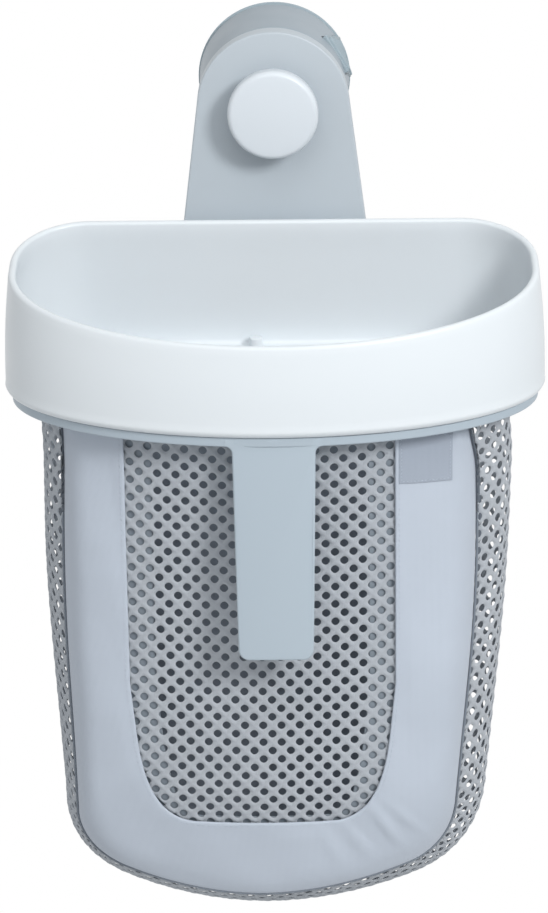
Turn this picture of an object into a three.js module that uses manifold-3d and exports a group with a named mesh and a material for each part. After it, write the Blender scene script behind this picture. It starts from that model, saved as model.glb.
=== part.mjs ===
// Bath toy organizer: a scoop basket with a mesh bag that hangs on a screw-lock suction mount.
// Millimetres, +Z up. The origin is the centre of the suction cup on the wall's face.
// The wall is the plane y = 0, the room is towards -Y, and +X is to the right seen from the room.

import * as THREE from 'three';
import { mergeVertices } from 'three/addons/utils/BufferGeometryUtils.js';
import Module from 'manifold-3d';

const wasm = await Module();
wasm.setup();

// Driving dimensions

// Clearances and the overrun that cuts use
const seatGap = 0.3;
const slideGap = 0.5;
const runGap = 0.25;
const seamGap = 0.5;
const overrun = 2;

// Suction cup
const cupRadius = 33.4;
const cupEdge = 1.2;
const cupLandWidth = 6.5;
const cupHollowDepth = 4.5;
const cupSkinRise = 2.6;
const cupBossRadius = 10.5;
const cupBossHeight = 16.5;
const cupBackWall = 2.2;
const tabAngle = 15;
const tabWidth = 19;
const tabThickness = 2.4;
const tabLength = 21;
const tabFirst = 4.5;
const tabRibs = 5;
const tabRibHeight = 0.9;
const tabRibWidth = 1.3;

// Stud
const studRadius = 3;
const studFootRadius = 7;
const studFootThickness = 3;
const studEnd = 61;

// Housing drum
const drumMouthRadius = 32.9;
const drumTopRadius = 31.6;
const drumDepth = 36;
const drumLift = 3;
const drumWall = 2.4;
const drumShoulder = 4;
const drumHubRadius = 15;
const drumPegRadius = 2;
const drumPegRing = 10.5;
const drumPegLength = 2.6;

// Bracket
const bracketFront = 50;
const bracketPlate = 4;
const bracketRadius = 33.2;
const bracketFlare = 6.9;
const bracketFoot = 96;
const bracketCorner = 9;
const bracketSkirt = 4;
const bracketSkirtWall = 2.4;
const bracketEdge = 0.9;
const ribWidth = 2;
const fingerHalfWidth = 26;
const fingerThickness = 3.5;
const fingerShelf = 4;
const fingerRise = 22;
const fingerShelfTop = 88;
const fingerNose = 1.6;

// Knob
const knobRadius = 19.4;
const knobStandOff = 9;
const knobThickness = 6.5;
const knobFillet = 2.4;
const knobCrown = 0.7;
const knobNeckRadius = 10.5;
const knobWall = 2.4;
const knobRibs = 6;
const knobRibWidth = 1.8;
const insertRadius = 5;
const insertFlange = 6.4;
const insertFlangeThickness = 1.2;
const insertLength = 8;
const washerRadius = 12.5;
const washerThickness = 1.2;

// Basket rim
const rimHalfWidth = 115;
const rimDepth = 110;
const rimFrontDepth = 66;
const rimCorner = 36;
const rimBackTop = -46.7;
const rimHeight = 61.8;
const rimDrop = 22;
const rimWall = 2.6;
const rimLip = 3.2;
const rimDraft = 3.4;
const rimBottomRound = 4;
const rimBulge = 0.7;
const flangeThickness = 2.4;
const flangeRise = 2;
const socketWall = 2.4;
const socketTop = 3;

// Ring with handle
const ringInset = 6.5;
const ringLip = 3.5;
const ringWall = 4;
const ringDrop = 4.1;
const ringLedge = 3.5;
const ringLedgeThickness = 1.6;
const ringEdge = 0.8;
const handleHalfTop = 17.3;
const handleHalfEnd = 15.7;
const handleLength = 93.7;
const handleThickness = 4.2;
const handleCorner = 4.5;
const handleFillet = 3;
const handleTilt = 3;
const handleWall = 2.2;
const handleRibs = 3;
const handleEdge = 0.8;

// Screws that hold the ring to the rim
const screwCount = 6;
const screwRadius = 1.2;
const screwHeadRadius = 1.8;
const screwHeadHeight = 1.4;
const screwLength = 9;
const screwBossRadius = 2.9;
const screwBossHeight = 5;

// Bag
const clothThickness = 1.4;
const hemThickness = 1.2;
const stripThickness = 1.7;
const bagTopLift = 0.7;
const bindingRadius = 0.9;
const frontSeamInset = 27.5;
const frontSeamShift = -1.6;
const frontSeamSkew = -6;
const frontSeamTaper = 5;
const seamCornerDrop = 204.5;
const seamBottomDrop = 224;
const backSeamInset = 38;
const backSeamTaper = 7;
const panelWidth = 30.5;
const windowShift = -6.5;
const windowTaper = 6.5;
const windowCornerDrop = 182.5;
const windowBottomDrop = 183.5;
const windowTaperDrop = 118;
const frontRecede = 6;
const frontCrown = 12;
const frontRoll = 5;
const frontSettle = 70;
const frontTuck = 9;
const gussetLeftBulge = 18.5;
const gussetRightBulge = 21.5;
const gussetSideTaper = 5;
const gussetBottomBulge = 17;
const gussetPinch = 1.5;
const gussetSettle = 90;
const netThickness = 1;
const netGap = 0.6;
const netHoleHalf = 4.2;
const netPitch = 12.4;
const netSeamWidth = 4.5;
const netEdge = 1.5;

// Shares. The first is how far a round corner's middle lies in from its edges, of its radius.
const cornerMiddleShare = 1 - Math.SQRT1_2;
const cupArchShares = [0.5, 0.8, 0.4];
const crownShares = [0.5, 0.75];
const tuckStartShare = 0.72;
const frontLeftShares = [0.06, 0.2];
const frontRightShares = [0.16, 0.4];
const backSeamShares = [0.14, 0.38];
const windowShares = [0.22, 0.42];

// How suddenly the panel turns back at its sides
const rollPower = 8;

// Faces of the round forms
const roundSides = 36;
const smallSides = 24;
const pinSides = 10;

// Places that follow from the driving dimensions
const deg = Math.PI / 180;
const fingerFront = bracketFront + slideGap + socketWall + slideGap + fingerThickness;
const rimBack = -(fingerFront + slideGap);
const rimBottom = rimBackTop - rimHeight;
const rimMiddle = rimBack - rimDepth + rimFrontDepth;
const ringOuter = ringInset - ringLip;
const ringInner = ringInset + ringWall;
const ledgeInner = ringInner + ringLedge;
const hemOuter = ringInner + seatGap;
const bagInset = ledgeInner + seatGap;
const hemInner = bagInset + hemThickness;
const flangeInset = hemInner + seatGap;
const frontSeamHalf = rimHalfWidth - frontSeamInset;
const frontSeamLow = frontSeamHalf - frontSeamTaper;
const backSeamHalf = rimHalfWidth - backSeamInset;
const backSeamLow = backSeamHalf - backSeamTaper;
const windowHalf = frontSeamHalf - panelWidth;
const windowLow = windowHalf - windowTaper;
const bagTop = bagTopLift - ringDrop;
const bagTopZ = rimBottom + bagTop;
const seamCorner = bagTopZ - seamCornerDrop;
const seamBottom = bagTopZ - seamBottomDrop;
const windowCorner = bagTopZ - windowCornerDrop;
const windowBottom = bagTopZ - windowBottomDrop;
const windowTaperStart = bagTopZ - windowTaperDrop;

// Materials
const white = new THREE.MeshStandardMaterial({ color: 0xe6edf3, roughness: 0.38, metalness: 0 });
const knobWhite = new THREE.MeshStandardMaterial({ color: 0xe4ebf0, roughness: 0.32, metalness: 0 });
const grey = new THREE.MeshStandardMaterial({ color: 0xb6c3cc, roughness: 0.42, metalness: 0 });
const handleGrey = new THREE.MeshStandardMaterial({ color: 0xb2c0ca, roughness: 0.4, metalness: 0 });
const softGrey = new THREE.MeshStandardMaterial({ color: 0xb4c2c9, roughness: 0.5, metalness: 0 });
const cloth = new THREE.MeshStandardMaterial({ color: 0xc0cad6, roughness: 0.85, metalness: 0 });
const netCloth = new THREE.MeshStandardMaterial({ color: 0x9aa3ab, roughness: 0.8, metalness: 0 });
const binding = new THREE.MeshStandardMaterial({ color: 0x7f8a97, roughness: 0.85, metalness: 0 });
const nylon = new THREE.MeshStandardMaterial({ color: 0xe9e9e4, roughness: 0.5, metalness: 0 });
const brass = new THREE.MeshStandardMaterial({ color: 0xc9a45a, roughness: 0.35, metalness: 1 });
const steel = new THREE.MeshStandardMaterial({ color: 0xb8bcc0, roughness: 0.35, metalness: 1 });

const organizer = new THREE.Group();
organizer.name = 'bath_toy_organizer';

function add(name, geometry, material) {
  const mesh = new THREE.Mesh(geometry, material);
  mesh.name = name;
  organizer.add(mesh);
}

// Solids: joining and cutting closed meshes

function positionsOnly(geometry) {
  const bare = new THREE.BufferGeometry();
  bare.setAttribute('position', geometry.getAttribute('position').clone());
  if (geometry.index) bare.setIndex(geometry.index.clone());
  return mergeVertices(bare, 1e-4);
}

function solid(geometry) {
  const merged = positionsOnly(geometry);
  const vertProperties = new Float32Array(merged.getAttribute('position').array);
  const triVerts = new Uint32Array(merged.index.array);
  return new wasm.Manifold(new wasm.Mesh({ numProp: 3, vertProperties, triVerts }));
}

function geometryOf(manifold) {
  const mesh = manifold.getMesh();
  const geometry = new THREE.BufferGeometry();
  geometry.setAttribute('position', new THREE.BufferAttribute(new Float32Array(mesh.vertProperties), 3));
  geometry.setIndex(new THREE.BufferAttribute(new Uint32Array(mesh.triVerts), 1));
  geometry.computeVertexNormals();
  return geometry;
}

function join(...geometries) {
  return geometryOf(geometries.map(solid).reduce((all, next) => all.add(next)));
}

function cut(body, ...tools) {
  return geometryOf(tools.map(solid).reduce((left, tool) => left.subtract(tool), solid(body)));
}

// Basic forms, placed in the part's own directions

// A cylinder along Y from depth y0 to depth y1, both counted from the wall towards the room
function roundBar(radius, from, to, sides = smallSides, x = 0, z = 0) {
  const bar = new THREE.CylinderGeometry(radius, radius, to - from, sides);
  return bar.translate(x, -(from + to) / 2, z);
}

function upright(radius, from, to, x, y, sides = pinSides) {
  const bar = new THREE.CylinderGeometry(radius, radius, to - from, sides);
  return bar.rotateX(Math.PI / 2).translate(x, y, (from + to) / 2);
}

function block(x0, x1, y0, y1, z0, z1) {
  const box = new THREE.BoxGeometry(x1 - x0, y1 - y0, z1 - z0);
  return box.translate((x0 + x1) / 2, (y0 + y1) / 2, (z0 + z1) / 2);
}

// A profile of [radius, depth from the wall] pairs turned about the cup's axis
function turned(profile, sides) {
  const points = profile.map(([radius, depth]) => new THREE.Vector2(radius, depth));
  points.push(points[0].clone());
  return faceOut(new THREE.LatheGeometry(points, sides).rotateX(Math.PI));
}

// A shape drawn in X and Z, with its near face at the depth given and its body behind it
function frontPlate(shape, frontDepth, thickness, edge = 0, curveSegments = 12) {
  const plate = new THREE.ExtrudeGeometry(shape, {
    depth: thickness - 2 * edge,
    bevelEnabled: edge > 0,
    bevelThickness: edge,
    bevelSize: edge,
    bevelOffset: -edge,
    bevelSegments: 1,
    curveSegments,
  });
  return plate.rotateX(Math.PI / 2).translate(0, -frontDepth + thickness - edge, 0);
}

function signedVolume(geometry) {
  const p = geometry.getAttribute('position');
  const index = geometry.index;
  const a = new THREE.Vector3();
  const b = new THREE.Vector3();
  const c = new THREE.Vector3();
  let sum = 0;
  for (let i = 0; i < index.count; i += 3) {
    a.fromBufferAttribute(p, index.getX(i));
    b.fromBufferAttribute(p, index.getX(i + 1));
    c.fromBufferAttribute(p, index.getX(i + 2));
    sum += a.dot(b.cross(c));
  }
  return sum;
}

function faceOut(geometry) {
  const merged = positionsOnly(geometry);
  const corners = Array.from(merged.index.array);
  const kept = [];
  for (let i = 0; i < corners.length; i += 3) {
    const [a, b, c] = corners.slice(i, i + 3);
    if (a !== b && b !== c && c !== a) kept.push(a, b, c);
  }
  merged.setIndex(kept);
  if (signedVolume(merged) < 0) {
    for (let i = 0; i < kept.length; i += 3) [kept[i], kept[i + 1]] = [kept[i + 1], kept[i]];
    merged.setIndex(kept);
  }
  merged.computeVertexNormals();
  return merged;
}

function meshFrom(points, triangles) {
  const geometry = new THREE.BufferGeometry();
  geometry.setAttribute('position', new THREE.Float32BufferAttribute(points.flat(), 3));
  geometry.setIndex(triangles);
  return faceOut(geometry);
}

// A closed loop of closed sections: sections[i][j] is a point
function loopOfSections(sections) {
  const rows = sections.length;
  const columns = sections[0].length;
  const triangles = [];
  for (let i = 0; i < rows; i++) {
    for (let j = 0; j < columns; j++) {
      const a = i * columns + j;
      const b = i * columns + (j + 1) % columns;
      const c = ((i + 1) % rows) * columns + j;
      const d = ((i + 1) % rows) * columns + (j + 1) % columns;
      triangles.push(a, b, d, a, d, c);
    }
  }
  return meshFrom(sections.flat(), triangles);
}

// A sheet with a thickness: outer[i][j] and inner[i][j] are the points of its two faces
function sheet(outer, inner) {
  const rows = outer.length;
  const columns = outer[0].length;
  const count = rows * columns;
  const at = (side, i, j) => side * count + i * columns + j;
  const triangles = [];
  for (let i = 0; i + 1 < rows; i++) {
    for (let j = 0; j + 1 < columns; j++) {
      triangles.push(at(0, i, j), at(0, i, j + 1), at(0, i + 1, j + 1));
      triangles.push(at(0, i, j), at(0, i + 1, j + 1), at(0, i + 1, j));
      triangles.push(at(1, i, j), at(1, i + 1, j + 1), at(1, i, j + 1));
      triangles.push(at(1, i, j), at(1, i + 1, j), at(1, i + 1, j + 1));
    }
  }
  const edge = [];
  for (let j = 0; j < columns; j++) edge.push([0, j]);
  for (let i = 1; i < rows; i++) edge.push([i, columns - 1]);
  for (let j = columns - 2; j >= 0; j--) edge.push([rows - 1, j]);
  for (let i = rows - 2; i > 0; i--) edge.push([i, 0]);
  edge.forEach(([i, j], k) => {
    const [m, n] = edge[(k + 1) % edge.length];
    triangles.push(at(0, i, j), at(1, i, j), at(1, m, n), at(0, i, j), at(1, m, n), at(0, m, n));
  });
  return meshFrom([...outer.flat(), ...inner.flat()], triangles);
}

const lerp = (a, b, t) => a + (b - a) * t;
const smooth = (t) => {
  const held = Math.min(1, Math.max(0, t));
  return held * held * (3 - 2 * held);
};

// The plan of the basket: flat behind, straight short sides, half an ellipse in front.
// Each place has a point on the outer line and the direction that faces out there.

const frontSteps = 28;
const cornerSteps = 5;

function planLine() {
  const places = [];
  const put = (x, y, nx, ny) => {
    const size = Math.hypot(nx, ny);
    places.push({ x, y, nx: nx / size, ny: ny / size });
  };
  const cornerY = rimBack - rimCorner;
  const cornerX = rimHalfWidth - rimCorner;
  for (let i = 0; i <= cornerSteps; i++) {
    const turn = i / cornerSteps * Math.PI / 2;
    const nx = Math.cos(turn);
    const ny = Math.sin(turn);
    put(cornerX + rimCorner * nx, cornerY + rimCorner * ny, nx, ny);
  }
  for (let i = 0; i <= cornerSteps; i++) {
    const turn = Math.PI / 2 + i / cornerSteps * Math.PI / 2;
    const nx = Math.cos(turn);
    const ny = Math.sin(turn);
    put(-cornerX + rimCorner * nx, cornerY + rimCorner * ny, nx, ny);
  }
  for (let i = 0; i <= frontSteps; i++) {
    const turn = Math.PI + i / frontSteps * Math.PI;
    const x = rimHalfWidth * Math.cos(turn);
    const y = rimMiddle + rimFrontDepth * Math.sin(turn);
    put(x, y, Math.cos(turn) / rimHalfWidth, Math.sin(turn) / rimFrontDepth);
  }
  return places;
}

const plan = planLine();

function planPoint(place, inset) {
  return [place.x - place.nx * inset, place.y - place.ny * inset];
}

// A section of [inset, height above the rim's bottom] pairs carried round the plan
function carriedRound(sectionAt) {
  return loopOfSections(plan.map((place) => sectionAt(place).map(([inset, height]) => {
    const [x, y] = planPoint(place, inset);
    return [x, y, rimBottom + height];
  })));
}

// Suction cup, stud, drum and bracket

function cupBody() {
  const landInner = cupRadius - cupLandWidth;
  const footDepth = cupHollowDepth + cupBackWall;
  const pocket = studFootThickness + 2 * seatGap;
  const neck = studRadius + seatGap;
  const [archHalf, archRise, archFoot] = cupArchShares;
  return turned([
    [0, cupHollowDepth],
    [landInner * archHalf, cupHollowDepth * archRise],
    [landInner, cupEdge * archFoot],
    [landInner, 0],
    [cupRadius, 0],
    [cupRadius, cupEdge],
    [landInner + cupEdge, cupSkinRise],
    [cupBossRadius + cupSkinRise, cupHollowDepth + cupSkinRise],
    [cupBossRadius, cupHollowDepth + 2 * cupSkinRise],
    [cupBossRadius - cupEdge, cupBossHeight],
    [neck, cupBossHeight],
    [neck, footDepth + pocket],
    [studFootRadius + seatGap, footDepth + pocket],
    [studFootRadius + seatGap, footDepth],
    [0, footDepth],
  ], roundSides);
}

function suctionCup() {
  const tabParts = [tabStrip()];
  for (let i = 0; i < tabRibs; i++) tabParts.push(tabRib(i));
  return join(cupBody(), join(...tabParts).rotateY(-tabAngle * deg));
}

// The tab leaves the cup's edge and stands off the wall beside the drum. It is drawn along +X.
const tabOuter = cupRadius - tabRibHeight;
const tabInner = tabOuter - tabThickness;

function tabStrip() {
  const side = new THREE.Shape();
  side.moveTo(tabInner - cupLandWidth / 2, cupEdge / 4);
  side.lineTo(tabOuter - cupEdge / 4, cupEdge / 4);
  side.lineTo(tabOuter, cupEdge);
  side.lineTo(tabOuter, tabFirst + tabLength - tabThickness / 2);
  side.quadraticCurveTo(tabOuter, tabFirst + tabLength, tabOuter - tabThickness / 2, tabFirst + tabLength);
  side.lineTo(tabInner, tabFirst + tabLength);
  side.lineTo(tabInner, tabFirst);
  side.lineTo(tabInner - cupLandWidth / 2, cupSkinRise);
  const strip = new THREE.ExtrudeGeometry(side, { depth: tabWidth, bevelEnabled: false, curveSegments: 4 });
  return strip.rotateX(Math.PI).translate(0, 0, tabWidth / 2);
}

function tabRib(i) {
  const share = (i + 0.5) / tabRibs;
  const depth = lerp(tabFirst + tabRibWidth, tabFirst + tabLength - tabRibWidth, share);
  return block(
    tabOuter - tabRibHeight / 2, tabOuter + tabRibHeight,
    -depth - tabRibWidth / 2, -depth + tabRibWidth / 2,
    -tabWidth / 2 + tabRibWidth, tabWidth / 2 - tabRibWidth,
  );
}

function cupStud() {
  const footDepth = cupHollowDepth + cupBackWall + seatGap;
  const footTop = footDepth + studFootThickness;
  return turned([
    [0, footDepth],
    [studFootRadius, footDepth],
    [studFootRadius, footTop],
    [studRadius, footTop],
    [studRadius, studEnd - studRadius / 3],
    [studRadius * 2 / 3, studEnd],
    [0, studEnd],
  ], smallSides);
}

const drumFace = drumLift + drumDepth - drumShoulder;
const drumHubEnd = bracketFront - bracketPlate - seatGap;

function housingDrum() {
  const outer = drumTopRadius;
  const inner = drumTopRadius - drumWall;
  const front = drumLift + drumDepth;
  const bore = studRadius + runGap;
  const shell = turned([
    [drumMouthRadius - drumWall, drumLift],
    [drumMouthRadius - drumWall / 3, drumLift - drumWall / 4],
    [drumMouthRadius, drumLift + drumWall / 3],
    [outer, drumFace],
    [outer - drumShoulder * cornerMiddleShare, front - drumShoulder * cornerMiddleShare],
    [outer - drumShoulder, front],
    [drumHubRadius + drumWall, front],
    [drumHubRadius, front + drumWall],
    [drumHubRadius, drumHubEnd],
    [bore, drumHubEnd],
    [bore, front - 2 * drumWall],
    [drumHubRadius - drumWall, front - 2 * drumWall],
    [drumHubRadius - drumWall, front - drumWall],
    [inner - drumShoulder, front - drumWall],
    [inner, drumFace - drumWall],
  ], roundSides);
  const pegs = [-1, 1].map((side) => (
    roundBar(drumPegRadius, drumHubEnd - drumWall, drumHubEnd + drumPegLength, pinSides, side * drumPegRing)
  ));
  const halfSlot = tabWidth / 2 + slideGap;
  const slotEnd = tabFirst + tabLength + slideGap;
  const notch = block(
    tabInner - cupLandWidth / 2 - slideGap, drumMouthRadius + overrun,
    -slotEnd, overrun,
    -halfSlot, halfSlot,
  ).rotateY(-tabAngle * deg);
  return cut(join(shell, ...pegs), notch);
}

// The bracket's outline: a round top over the knob, and sides that flare down to the foot
function bracketOutline(inset) {
  const radius = bracketRadius - inset;
  const flare = bracketFlare * deg;
  const foot = -(bracketFoot - inset);
  const sideX = (z) => (radius + -z * Math.sin(flare)) / Math.cos(flare);
  const footX = sideX(foot);
  const corner = bracketCorner - inset / 2;
  const shape = new THREE.Shape();
  shape.moveTo(-footX + corner, foot);
  shape.lineTo(footX - corner, foot);
  shape.quadraticCurveTo(footX, foot, sideX(foot + corner), foot + corner);
  shape.lineTo(radius * Math.cos(flare), radius * Math.sin(flare));
  shape.absarc(0, 0, radius, flare, Math.PI - flare, false);
  shape.lineTo(-sideX(foot + corner), foot + corner);
  shape.quadraticCurveTo(-footX, foot, -footX + corner, foot);
  return shape;
}

function wallBracket() {
  const depth = bracketPlate + bracketSkirt;
  const body = frontPlate(bracketOutline(0), bracketFront, depth, bracketEdge, 16);
  const hollow = frontPlate(bracketOutline(bracketSkirtWall), bracketFront - bracketPlate, depth, 0, 16);
  const ribBack = -(bracketFront - depth);
  const ribFront = -(bracketFront - bracketPlate / 2);
  const ribTop = -(drumTopRadius + drumWall);
  const ribFoot = -(bracketFoot - bracketSkirtWall / 2);
  const ribs = [-1, 0, 1].map((side) => {
    const x = side * fingerHalfWidth * 2 / 3;
    return block(x - ribWidth / 2, x + ribWidth / 2, ribFront, ribBack, ribFoot, ribTop);
  });
  const shell = join(cut(body, hollow), ...ribs);
  const shelf = block(
    -fingerHalfWidth, fingerHalfWidth,
    -fingerFront, -(bracketFront - bracketPlate / 2),
    -(fingerShelfTop + fingerShelf), -fingerShelfTop,
  );
  const finger = fingerBlade();
  const holes = [roundBar(studRadius + runGap, bracketFront - depth - overrun, bracketFront + overrun)];
  for (const side of [-1, 1]) {
    holes.push(roundBar(
      drumPegRadius + seatGap, bracketFront - depth - overrun, drumHubEnd + drumPegLength + seatGap, pinSides,
      side * drumPegRing,
    ));
  }
  return cut(join(shell, shelf, finger), ...holes);
}

function fingerBlade() {
  const top = -(fingerShelfTop - fingerRise);
  const foot = -(fingerShelfTop + fingerShelf);
  const side = new THREE.Shape();
  side.moveTo(-fingerHalfWidth, foot);
  side.lineTo(fingerHalfWidth, foot);
  side.lineTo(fingerHalfWidth, top - 2 * fingerNose);
  side.lineTo(fingerHalfWidth - 2 * fingerNose, top);
  side.lineTo(-fingerHalfWidth + 2 * fingerNose, top);
  side.lineTo(-fingerHalfWidth, top - 2 * fingerNose);
  return frontPlate(side, fingerFront, fingerThickness, fingerNose / 3);
}

// Knob, insert and washer

const washerFront = bracketFront + seatGap + washerThickness;
const neckStart = washerFront + seatGap;
const knobRear = bracketFront + knobStandOff;
const knobFront = knobRear + knobThickness;

function knobBody() {
  const flat = knobRadius - knobFillet;
  const pocketEnd = neckStart + insertLength + 2 * seatGap;
  const tipEnd = knobFront - knobWall;
  const [crownHalf, crownRise] = crownShares;
  const shell = turned([
    [insertRadius + seatGap, neckStart],
    [knobNeckRadius, neckStart],
    [knobNeckRadius, knobRear],
    [knobNeckRadius, knobFront - knobWall],
    [knobRadius - knobWall, knobFront - knobWall],
    [knobRadius - knobWall, knobRear],
    [knobRadius - knobWall / 3, knobRear - knobWall / 6],
    [knobRadius, knobRear + knobWall / 3],
    [knobRadius, knobFront - knobFillet],
    [knobRadius - knobFillet * cornerMiddleShare, knobFront - knobFillet * cornerMiddleShare],
    [flat, knobFront],
    [flat * crownHalf, knobFront + knobCrown * crownRise],
    [0, knobFront + knobCrown],
    [0, tipEnd],
    [studRadius + runGap, tipEnd],
    [studRadius + runGap, pocketEnd],
    [insertRadius + seatGap, pocketEnd],
  ], roundSides);
  const flangeEnd = neckStart + insertFlangeThickness + 2 * seatGap;
  const flangeSeat = roundBar(insertFlange + seatGap, neckStart - overrun, flangeEnd);
  const ribs = [];
  for (let i = 0; i < knobRibs; i++) {
    const rib = block(
      knobNeckRadius - knobRibWidth / 2, knobRadius - knobWall / 2,
      -(knobFront - knobWall / 2), -(knobRear + knobRibWidth / 2),
      -knobRibWidth / 2, knobRibWidth / 2,
    );
    ribs.push(rib.rotateY(i / knobRibs * 2 * Math.PI));
  }
  return cut(join(shell, ...ribs), flangeSeat);
}

function knobInsert() {
  const start = neckStart + seatGap;
  return turned([
    [studRadius + runGap, start],
    [insertFlange, start],
    [insertFlange, start + insertFlangeThickness],
    [insertRadius, start + insertFlangeThickness],
    [insertRadius, start + insertLength],
    [studRadius + runGap, start + insertLength],
  ], smallSides);
}

function slipWasher() {
  const back = bracketFront + seatGap;
  return turned([
    [studRadius + seatGap, back],
    [washerRadius, back],
    [washerRadius, back + washerThickness],
    [studRadius + seatGap, back + washerThickness],
  ], smallSides);
}

// Basket rim with its hanger socket

// The top of the rim falls in a straight line from the back to the front
function rimTopHeight(place) {
  return rimHeight - rimDrop * (rimBack - place.y) / rimDepth;
}

function rimSection(place) {
  const top = rimTopHeight(place);
  const lean = Math.tan(rimDraft * deg);
  const round = rimBottomRound;
  const lipRound = rimLip / 2;
  const lipInset = lean * top;
  const middle = (top + round) / 2;
  const groove = ringInset - seatGap;
  const flangeTop = flangeRise + flangeThickness;
  return [
    [groove, 0],
    [round, 0],
    [round * cornerMiddleShare, round * cornerMiddleShare],
    [lean * round / 2, round],
    [lean * middle - rimBulge, middle],
    [lipInset, top - lipRound],
    [lipInset + lipRound * cornerMiddleShare, top - lipRound * cornerMiddleShare],
    [lipInset + lipRound, top],
    [lipInset + rimLip - lipRound * cornerMiddleShare, top - lipRound * cornerMiddleShare],
    [lipInset + rimLip, top - lipRound],
    [lipInset + rimWall, top - 2 * rimLip],
    [lean * middle - rimBulge + rimWall, middle],
    [rimWall + lean * round, flangeTop + rimWall / 2],
    [rimWall + rimWall / 2, flangeTop],
    [flangeInset, flangeTop],
    [flangeInset, flangeRise],
    [groove, flangeRise],
  ];
}

// The socket opens downwards and drops over the bracket's finger
function socketWalls() {
  const inner = fingerHalfWidth + slideGap;
  const outer = inner + socketWall;
  const back = -(bracketFront + slideGap);
  const front = rimBack - rimWall;
  const top = -(fingerShelfTop - fingerRise) + seatGap + socketTop;
  const foot = -(fingerShelfTop - seatGap);
  const outside = new THREE.Shape();
  outside.moveTo(-outer, foot);
  outside.lineTo(outer, foot);
  outside.lineTo(outer, top - socketTop);
  outside.lineTo(outer - socketTop, top);
  outside.lineTo(-outer + socketTop, top);
  outside.lineTo(-outer, top - socketTop);
  const depth = back - front;
  const body = frontPlate(outside, -front, depth);
  const hollow = block(-inner, inner, rimBack, back - socketWall, foot - overrun, top - socketTop);
  return cut(body, hollow);
}

// Places of the screws round the plan, as shares of the turn from the right back corner
function screwPlaces() {
  const places = [];
  for (let i = 0; i < screwCount; i++) {
    const share = (i + 0.5) / screwCount;
    places.push(placeAtShare(share));
  }
  return places;
}

function placeAtShare(share) {
  const lengths = [0];
  for (let i = 1; i <= plan.length; i++) {
    const a = plan[i - 1];
    const b = plan[i % plan.length];
    lengths.push(lengths[i - 1] + Math.hypot(b.x - a.x, b.y - a.y));
  }
  const wanted = share * lengths[plan.length];
  const i = lengths.findIndex((length) => length > wanted) - 1;
  const t = (wanted - lengths[i]) / (lengths[i + 1] - lengths[i]);
  const a = plan[i];
  const b = plan[(i + 1) % plan.length];
  return { x: lerp(a.x, b.x, t), y: lerp(a.y, b.y, t), nx: lerp(a.nx, b.nx, t), ny: lerp(a.ny, b.ny, t) };
}

const screwInset = ringInset + ringWall / 2;
const screwBottom = rimBottom - ringDrop + ringEdge;

function basketRim() {
  const band = carriedRound(rimSection);
  const bosses = [];
  const holes = [];
  for (const place of screwPlaces()) {
    const [x, y] = planPoint(place, screwInset);
    const top = rimBottom + flangeRise + flangeThickness + screwBossHeight;
    bosses.push(upright(screwBossRadius, rimBottom + flangeRise, top, x, y));
    holes.push(upright(screwRadius + seatGap, rimBottom - overrun, top - flangeThickness / 2, x, y));
  }
  return cut(join(band, socketWalls(), ...bosses), ...holes);
}

function ringScrew(place) {
  const [x, y] = planPoint(place, screwInset);
  const head = upright(screwHeadRadius, screwBottom, screwBottom + screwHeadHeight, x, y);
  const shank = upright(screwRadius, screwBottom + screwHeadHeight / 2, screwBottom + screwLength, x, y);
  return join(head, shank);
}

// Ring and handle, one moulding

function ringSection() {
  return [
    [ringInset, flangeRise - seatGap],
    [ringInset, -seatGap],
    [ringOuter, -seatGap],
    [ringOuter, -ringDrop + ringEdge],
    [ringOuter + ringEdge, -ringDrop],
    [ledgeInner, -ringDrop],
    [ledgeInner, -ringDrop + ringLedgeThickness],
    [ringInner, -ringDrop + ringLedgeThickness],
    [ringInner, flangeRise - seatGap],
  ];
}

const handleFront = -(rimBack - rimDepth) - ringOuter;
const handleTopZ = rimBottom - seatGap;
const handleEndZ = rimBottom - ringDrop - handleLength;

function handleOutline(inset) {
  const top = handleTopZ - inset;
  const end = handleEndZ + inset;
  const halfTop = handleHalfTop - inset;
  const halfEnd = handleHalfEnd - inset;
  const corner = handleCorner - inset / 2;
  const shape = new THREE.Shape();
  shape.moveTo(-halfEnd + corner, end);
  shape.lineTo(halfEnd - corner, end);
  shape.quadraticCurveTo(halfEnd, end, halfEnd, end + corner);
  if (inset > 0) {
    shape.lineTo(halfTop, top);
    shape.lineTo(-halfTop, top);
  } else {
    const neck = rimBottom - ringDrop;
    shape.lineTo(halfTop, neck - handleFillet);
    shape.quadraticCurveTo(halfTop, neck, halfTop + handleFillet, neck + ringEdge);
    shape.lineTo(halfTop + handleFillet, top);
    shape.lineTo(-halfTop - handleFillet, top);
    shape.lineTo(-halfTop - handleFillet, neck + ringEdge);
    shape.quadraticCurveTo(-halfTop, neck, -halfTop, neck - handleFillet);
  }
  shape.lineTo(-halfEnd, end + corner);
  shape.quadraticCurveTo(-halfEnd, end, -halfEnd + corner, end);
  return shape;
}

// The handle leans forward a little from the ring, so fingers fit between it and the bag
function leanForward(geometry) {
  const position = geometry.getAttribute('position');
  const lean = Math.tan(handleTilt * deg);
  for (let i = 0; i < position.count; i++) {
    const drop = Math.max(0, handleTopZ - ringDrop - position.getZ(i));
    position.setY(i, position.getY(i) - drop * lean);
  }
  return geometry;
}

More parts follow.
